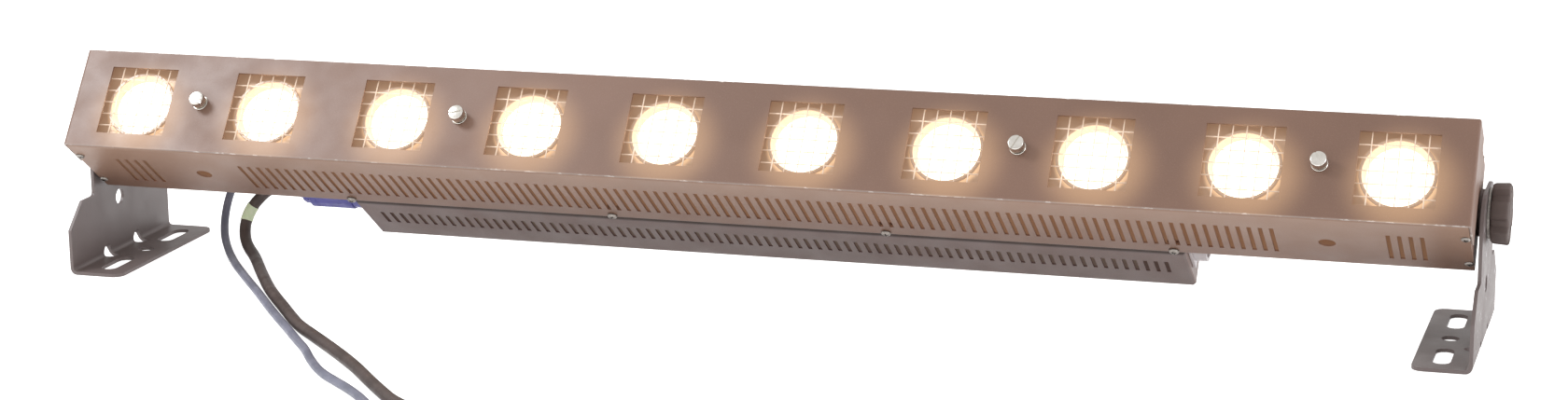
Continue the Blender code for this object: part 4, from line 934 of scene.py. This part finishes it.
CAP_SCREWS_ACROSS = (-0.4955, 0.4955)
CAP_SCREW_DEPTHS = (0.020, 0.0605)

dull_nickel = new_finish("dull_nickel", (0.32, 0.295, 0.27), 0.42, metallic=1.0)
add_mottle(dull_nickel, (0.25, 0.23, 0.21), (0.40, 0.37, 0.34), 700)
add_sheen_map(dull_nickel, 900, 0.34, 0.50)


def make_cross_screw(name, radius, height, shank):
    """A domed screw head with a cross recess, its shank towards -Z."""
    screw = turned(name, [
        (0.0012, -shank), (0.0016, -shank + 0.0004), (0.0016, 0.0), (radius * 0.97, 0.0),
        (radius, height * 0.12), (radius * 0.97, height * 0.42), (radius * 0.86, height * 0.68),
        (radius * 0.66, height * 0.87), (radius * 0.40, height * 0.97), (radius * 0.15, height),
    ], 36)
    for turn in (0, math.pi / 2):
        cut_away(screw, block((radius * 0.26, radius * 1.15, height * 1.3), (0, 0, height), turn))
    screw.data.materials.append(dull_nickel)
    return screw


cap_screw = make_cross_screw("cap_screw", 0.0031, 0.0017, 0.004)
number = 0
for across in CAP_SCREWS_ACROSS:
    for depth in CAP_SCREW_DEPTHS:
        for rise, flip in ((-HALF_HEIGHT, math.pi), (HALF_HEIGHT, 0.0)):
            number += 1
            screw = copy_of(cap_screw, f"end_cap_screw_{number}")
            spot = Matrix.Translation((across, depth, rise)) @ Matrix.Rotation(flip, 4, "X")
            settle(screw, BAR @ spot @ Matrix.Rotation(0.7 * number, 4, "Z"), 35)
            dress(screw, dull_nickel, "housing", "nickel")


# Electronics housing. A five-sided sheet box screwed on behind the channel through its tabs, with a
# row of vent slots in its floor. Its coat is a little greyer than the channel's. Its floor is set in
# from the channel's, with a painted shadow along the step, a pale painted highlight along its low
# rear fold, and a dim brown glow of painted lamp light on its inside faces.

COVER_HALF = 0.034
COVER_BACK = 0.142
COVER_SCREWS_ACROSS = (-0.3, -0.1, 0.1, 0.3)
COVER_SCREW_DEPTH = 0.0695
STEP_MIDDLE = 0.0832
STEP_WIDTH = 0.0052

cover_coat, cover_colour = powder_coat("cover_coat", COVER_COAT)
behind, up = bar_axes(cover_coat)[1:]
# A painted highlight, laid on as pale chips along the cover's low rear fold.
painted_low_fold_highlight = maths(cover_coat, "MULTIPLY", closeness(cover_coat, up, -COVER_HALF, 0.0022),
                 closeness(cover_coat, behind, COVER_BACK, 0.0022))
# A painted shadow: the cover's floor is darkened, and its specular lowered, in a band along the step
# behind the channel.
step_shade = maths(cover_coat, "MULTIPLY", closeness(cover_coat, behind, STEP_MIDDLE, STEP_WIDTH), 1.5)
step_shade = maths(cover_coat, "MINIMUM", step_shade, 0.85)
shaded = mix_colour(cover_coat, step_shade, cover_colour, (0.034, 0.020, 0.015))
unlit = maths(cover_coat, "MULTIPLY", step_shade, COAT_SPECULAR)
wire_up(cover_coat, maths(cover_coat, "SUBTRACT", COAT_SPECULAR, unlit), "Specular IOR Level")
wear_and_painted_highlight(cover_coat, shaded, [painted_low_fold_highlight], 0.5)
# Painted lamp light: the cover's inside faces glow dim brown.
cover_inside_faces = maths(cover_coat, "LESS_THAN", maths(cover_coat, "ABSOLUTE", up), COVER_HALF - SKIN)
light_up(cover_coat, mix_colour(cover_coat, cover_inside_faces, DARK, (0.060, 0.042, 0.036)), 1.0)
coat_node("electronics_cover", cover_coat)

for number, across in enumerate(COVER_SCREWS_ACROSS, start=1):
    screw = copy_of(cap_screw, f"cover_screw_head_{number}")
    grown = Matrix.Diagonal((1.13, 1.13, 1.25, 1))
    spot = Matrix.Translation((across, COVER_SCREW_DEPTH, -HALF_HEIGHT - TOUCH))
    spot = spot @ Matrix.Rotation(math.pi, 4, "X")
    settle(screw, BAR @ spot @ Matrix.Rotation(0.5 * number, 4, "Z") @ grown, 35)
    dress(screw, dull_nickel, "housing", "nickel", f"cover_screw_{number}")
bpy.data.objects.remove(cap_screw)


# Dimmer board. A dark circuit board on legs, with capacitors, terminal blocks, relays and a heatsink;
# it shows only through the vent slots.

board_green = new_finish("board_green", (0.040, 0.072, 0.036), 0.4)
add_mottle(board_green, (0.032, 0.058, 0.028), (0.052, 0.088, 0.044), 180, low=0.45, high=0.55)
add_sheen_map(board_green, 400, 0.3, 0.5)
add_grain(board_green, 1200, 0.3, 0.0002)
# The board glows dim brown: painted lamp light.
light_up(board_green, (0.090, 0.060, 0.050, 1), 1.0)
coat_node("dimmer_board", board_green)
BOARD_MIDDLE = 0.108
SHEET = 0.0015
BOARD_LEG = 0.0045
BOARD_THICK = 0.0016
BOARD_TOP = -COVER_HALF + SHEET + TOUCH + BOARD_LEG + BOARD_THICK
BOARD_GAP = 0.0001

capacitor_sleeve = new_finish("capacitor_sleeve", (0.05, 0.09, 0.28), 0.35)
add_mottle(capacitor_sleeve, (0.04, 0.07, 0.24), (0.07, 0.11, 0.32), 200)
terminal_grey = new_finish("terminal_grey", (0.62, 0.62, 0.60), 0.45)
add_mottle(terminal_grey, (0.56, 0.56, 0.54), (0.68, 0.68, 0.66), 200)
relay_red = new_finish("relay_red", (0.55, 0.09, 0.05), 0.4)
add_mottle(relay_red, (0.48, 0.07, 0.04), (0.60, 0.11, 0.07), 200)


def softened(solid, width):
    make_active(solid)
    edge = solid.modifiers.new("edge", "BEVEL")
    edge.width = width
    edge.segments = 2
    bpy.ops.object.modifier_apply(modifier="edge")
    return solid


def make_capacitor():
    can = turned("capacitor", [
        (0.0044, 0.0), (0.0050, 0.0005), (0.0050, 0.0018), (0.0047, 0.0024), (0.0050, 0.0030),
        (0.0050, 0.0152), (0.0046, 0.0160), (0.0040, 0.0160), (0.0038, 0.0158),
    ], 24)
    can.data.materials.append(capacitor_sleeve)
    return can


def make_terminal():
    strip = softened(block((0.030, 0.010, 0.011), (0, 0, 0.0055)), 0.0005)
    for i in range(4):
        well = turned("well", [(0.0021, 0.0085), (0.0021, 0.0125)], 16)
        settle(well, Matrix.Translation(((i - 1.5) * 0.007, 0, 0)), 0)
        cut_away(strip, well)
    strip.data.materials.append(terminal_grey)
    return strip


def make_relay():
    relay = softened(block((0.017, 0.014, 0.015), (0, 0, 0.0075)), 0.0008)
    relay.data.materials.append(relay_red)
    return relay


for kind, make, finish, spots in (
        ("capacitor", make_capacitor, capacitor_sleeve,
         ((-0.140, -0.019), (-0.125, -0.019), (-0.085, -0.019), (0.133, -0.019), (0.228, -0.019))),
        ("terminal", make_terminal, terminal_grey, ((-0.235, -0.0185), (0.0, -0.0185), (0.252, -0.0185))),
        ("relay", make_relay, relay_red, ((-0.160, 0.0165), (0.115, -0.0165), (0.180, 0.0165)))):
    model = make()
    for number, (across, aside) in enumerate(spots, start=1):
        part = copy_of(model, f"board_{kind}_{number}")
        settle(part, BAR @ Matrix.Translation((across, BOARD_MIDDLE + aside, BOARD_TOP + BOARD_GAP)), 35)
        dress(part, finish, "housing", "board_green")
    bpy.data.objects.remove(model)

heatsink_metal = new_finish("heatsink_metal", (0.68, 0.68, 0.70), 0.38, metallic=0.9)
add_mottle(heatsink_metal, (0.60, 0.60, 0.62), (0.74, 0.74, 0.76), 70)
add_sheen_map(heatsink_metal, 500, 0.3, 0.48)
coat_node("heatsink", heatsink_metal)


# Sockets. A blue mains inlet and a pale grey mains outlet, and a nickel data inlet and outlet, in the
# end faces of the electronics housing; the outlets have flat contacts and a black insert in their bores.

pale_plastic = new_finish("pale_plastic", (0.80, 0.76, 0.78), 0.3)
add_mottle(pale_plastic, (0.76, 0.72, 0.74), (0.84, 0.80, 0.82), 90)
add_sheen_map(pale_plastic, 200, 0.25, 0.4)
add_grain(pale_plastic, 1300, 0.1, 0.0002)
for name, finish in (("mains_inlet", blue_plastic), ("mains_outlet", pale_plastic),
                     ("data_inlet", bright_nickel), ("data_outlet", bright_nickel)):
    coat_node(name, finish)

SOCKET_MOUTH = 0.316
SOCKET_DEPTH = 0.0210
SOCKET_RISE = 0.015
CONTACTS = 3
DATA_PINS = 5


def into_socket(rise):
    """Place at the floor of a right-hand socket's bore, with Z out of the socket."""
    spot = Matrix.Translation((SOCKET_MOUTH - SOCKET_DEPTH, BOARD_MIDDLE, rise))
    return BAR @ spot @ Matrix.Rotation(math.pi / 2, 4, "Y")


contacts = []
for i in range(CONTACTS):
    turn = 2 * math.pi * i / CONTACTS + 0.4
    blade = softened(block((0.0012, 0.0052, 0.0130), (0.0060, 0, 0.0067)), 0.0003)
    settle(blade, Matrix.Rotation(turn, 4, "Z"), 35)
    contacts.append(blade)
outlet_contacts = join_all("mains_outlet_contacts", contacts)
settle(outlet_contacts, into_socket(-SOCKET_RISE), 35)
dress(outlet_contacts, bright_nickel, "housing", "nickel")

insert = turned("data_outlet_insert", [
    (0.0079, 0.0002), (0.0080, 0.0005), (0.0080, 0.0110), (0.0077, 0.0114), (0.0070, 0.0114),
], 36)
for i in range(DATA_PINS):
    turn = 2 * math.pi * (i + 0.5) / DATA_PINS
    hole = turned("hole", [(0.0009, 0.0040), (0.0009, 0.0150)], 14)
    settle(hole, Matrix.Translation((0.0042 * math.cos(turn), 0.0042 * math.sin(turn), 0)), 0)
    cut_away(insert, hole)
settle(insert, into_socket(SOCKET_RISE), 35)
dress(insert, black_rubber, "housing", "black_plastic")


# Swivel brackets. Bent steel plate with a round-cornered arm and a slotted foot, coated greyer than
# the housing, with pale patches on its outer face that are a painted sheen.

BRACKET_OUTSIDE = 0.50395

bracket_coat = powder_coat("bracket_coat", COVER_COAT)[0]
cool = mix_colour(bracket_coat, noise_of(bracket_coat, 14, 2.0),
                  (0.146, 0.112, 0.108), (0.180, 0.142, 0.137))
place = add_node(bracket_coat, "ShaderNodeTexCoord")
axes = add_node(bracket_coat, "ShaderNodeSeparateXYZ", Vector=place.outputs["Object"])
outside = maths(bracket_coat, "ABSOLUTE", axes.outputs["X"])
# A painted sheen: pale lavender patches over the whole outer face of each bracket.
painted_sheen_face = closeness(bracket_coat, outside, BRACKET_OUTSIDE, 0.00035)
wear_and_painted_highlight(bracket_coat, cool, [painted_sheen_face], 0.35, (0.62, 0.60, 0.64))
for name in ("left_bracket", "right_bracket"):
    coat_node(name, bracket_coat)
    bracket = node_piece(name)
    weld = bracket.modifiers.new("weld", "WELD")
    weld.merge_threshold = 0.00001
    edge = bracket.modifiers.new("edge", "BEVEL")
    edge.width = 0.0004
    edge.segments = 2
    edge.limit_method = "ANGLE"
    edge.angle_limit = math.radians(40)
    edge.use_clamp_overlap = True


# Friction discs and washers. A dark fibre disc between each end cap and its bracket, and a plated
# washer under each knob.

fibre = new_finish("fibre", (0.22, 0.18, 0.17), 0.8)
add_mottle(fibre, (0.18, 0.145, 0.135), (0.27, 0.22, 0.21), 350)
add_grain(fibre, 1500, 0.4, 0.0003)
for side in ("left", "right"):
    coat_node(f"{side}_friction_disc", fibre)
    coat_node(f"{side}_washer", dull_nickel)


# Clamping knobs. A moulded knob with six lobes, a raised rim and a shallow cap, on a plated bolt that
# goes through the bracket and the friction disc into the nut of the end cap.

KNOB_THICK = 0.012
KNOB_LOBES = 6
KNOB_GRIP = 0.0148
KNOB_GRIP_WIDTH = 0.0035
KNOB_HOLLOW = 0.19
KNOB_TURN = math.radians(10)

knob_black = new_finish("knob_black", (0.115, 0.082, 0.074), 0.65)
add_mottle(knob_black, (0.102, 0.073, 0.065), (0.128, 0.092, 0.083), 60)
add_sheen_map(knob_black, 120, 0.58, 0.74)
add_grain(knob_black, 1400, 0.3, 0.0003)


def make_knob():
    knob = turned("knob", [
        (0.0150, 0.0), (0.0192, 0.0002), (0.0199, 0.0008), (0.0203, 0.0020), (0.0208, 0.0104),
        (0.0205, 0.0113), (0.0197, 0.0119), (0.0172, 0.0120), (0.0150, 0.0114), (0.0110, 0.0112),
        (0.0102, 0.0118), (0.0090, 0.0120), (0.0050, 0.0120),
    ], 144)
    for point in knob.data.vertices:
        radius = Vector(point.co[:2]).length
        if radius > KNOB_GRIP:
            turn = math.atan2(point.co.y, point.co.x)
            lobe = abs(((turn / (2 * math.pi) * KNOB_LOBES) % 1.0) - 0.5) * 2
            hollow = min(1.0, max(0.0, 1 - 2 * lobe) * 2.2)
            point.co.xy *= 1 - KNOB_HOLLOW * hollow * min(1.0, (radius - KNOB_GRIP) / KNOB_GRIP_WIDTH)
    knob.data.materials.append(knob_black)
    bolt = turned("bolt", [(0.0036, -0.0145), (0.0040, -0.0141), (0.0040, 0.0060)], 28)
    bolt.data.materials.append(bright_nickel)
    return join_all("knob", [knob, bolt])


right_knob = make_knob()
left_knob = copy_of(right_knob, "left_knob_body")
right_knob.name = "right_knob_body"
for knob, name, side in ((left_knob, "left_knob", -1), (right_knob, "right_knob", 1)):
    low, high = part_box(name)
    cap = high.x if side > 0 else low.x
    axle = joint_called(name + "_turn")["pos_m"]
    spot = Matrix.Translation((cap - side * KNOB_THICK, axle[1], axle[2]))
    turn = Matrix.Rotation(side * math.pi / 2, 4, "Y") @ Matrix.Rotation(KNOB_TURN, 4, "Z")
    settle(knob, spot @ turn, 35)
    dress(knob, None, name, "black_plastic", name)
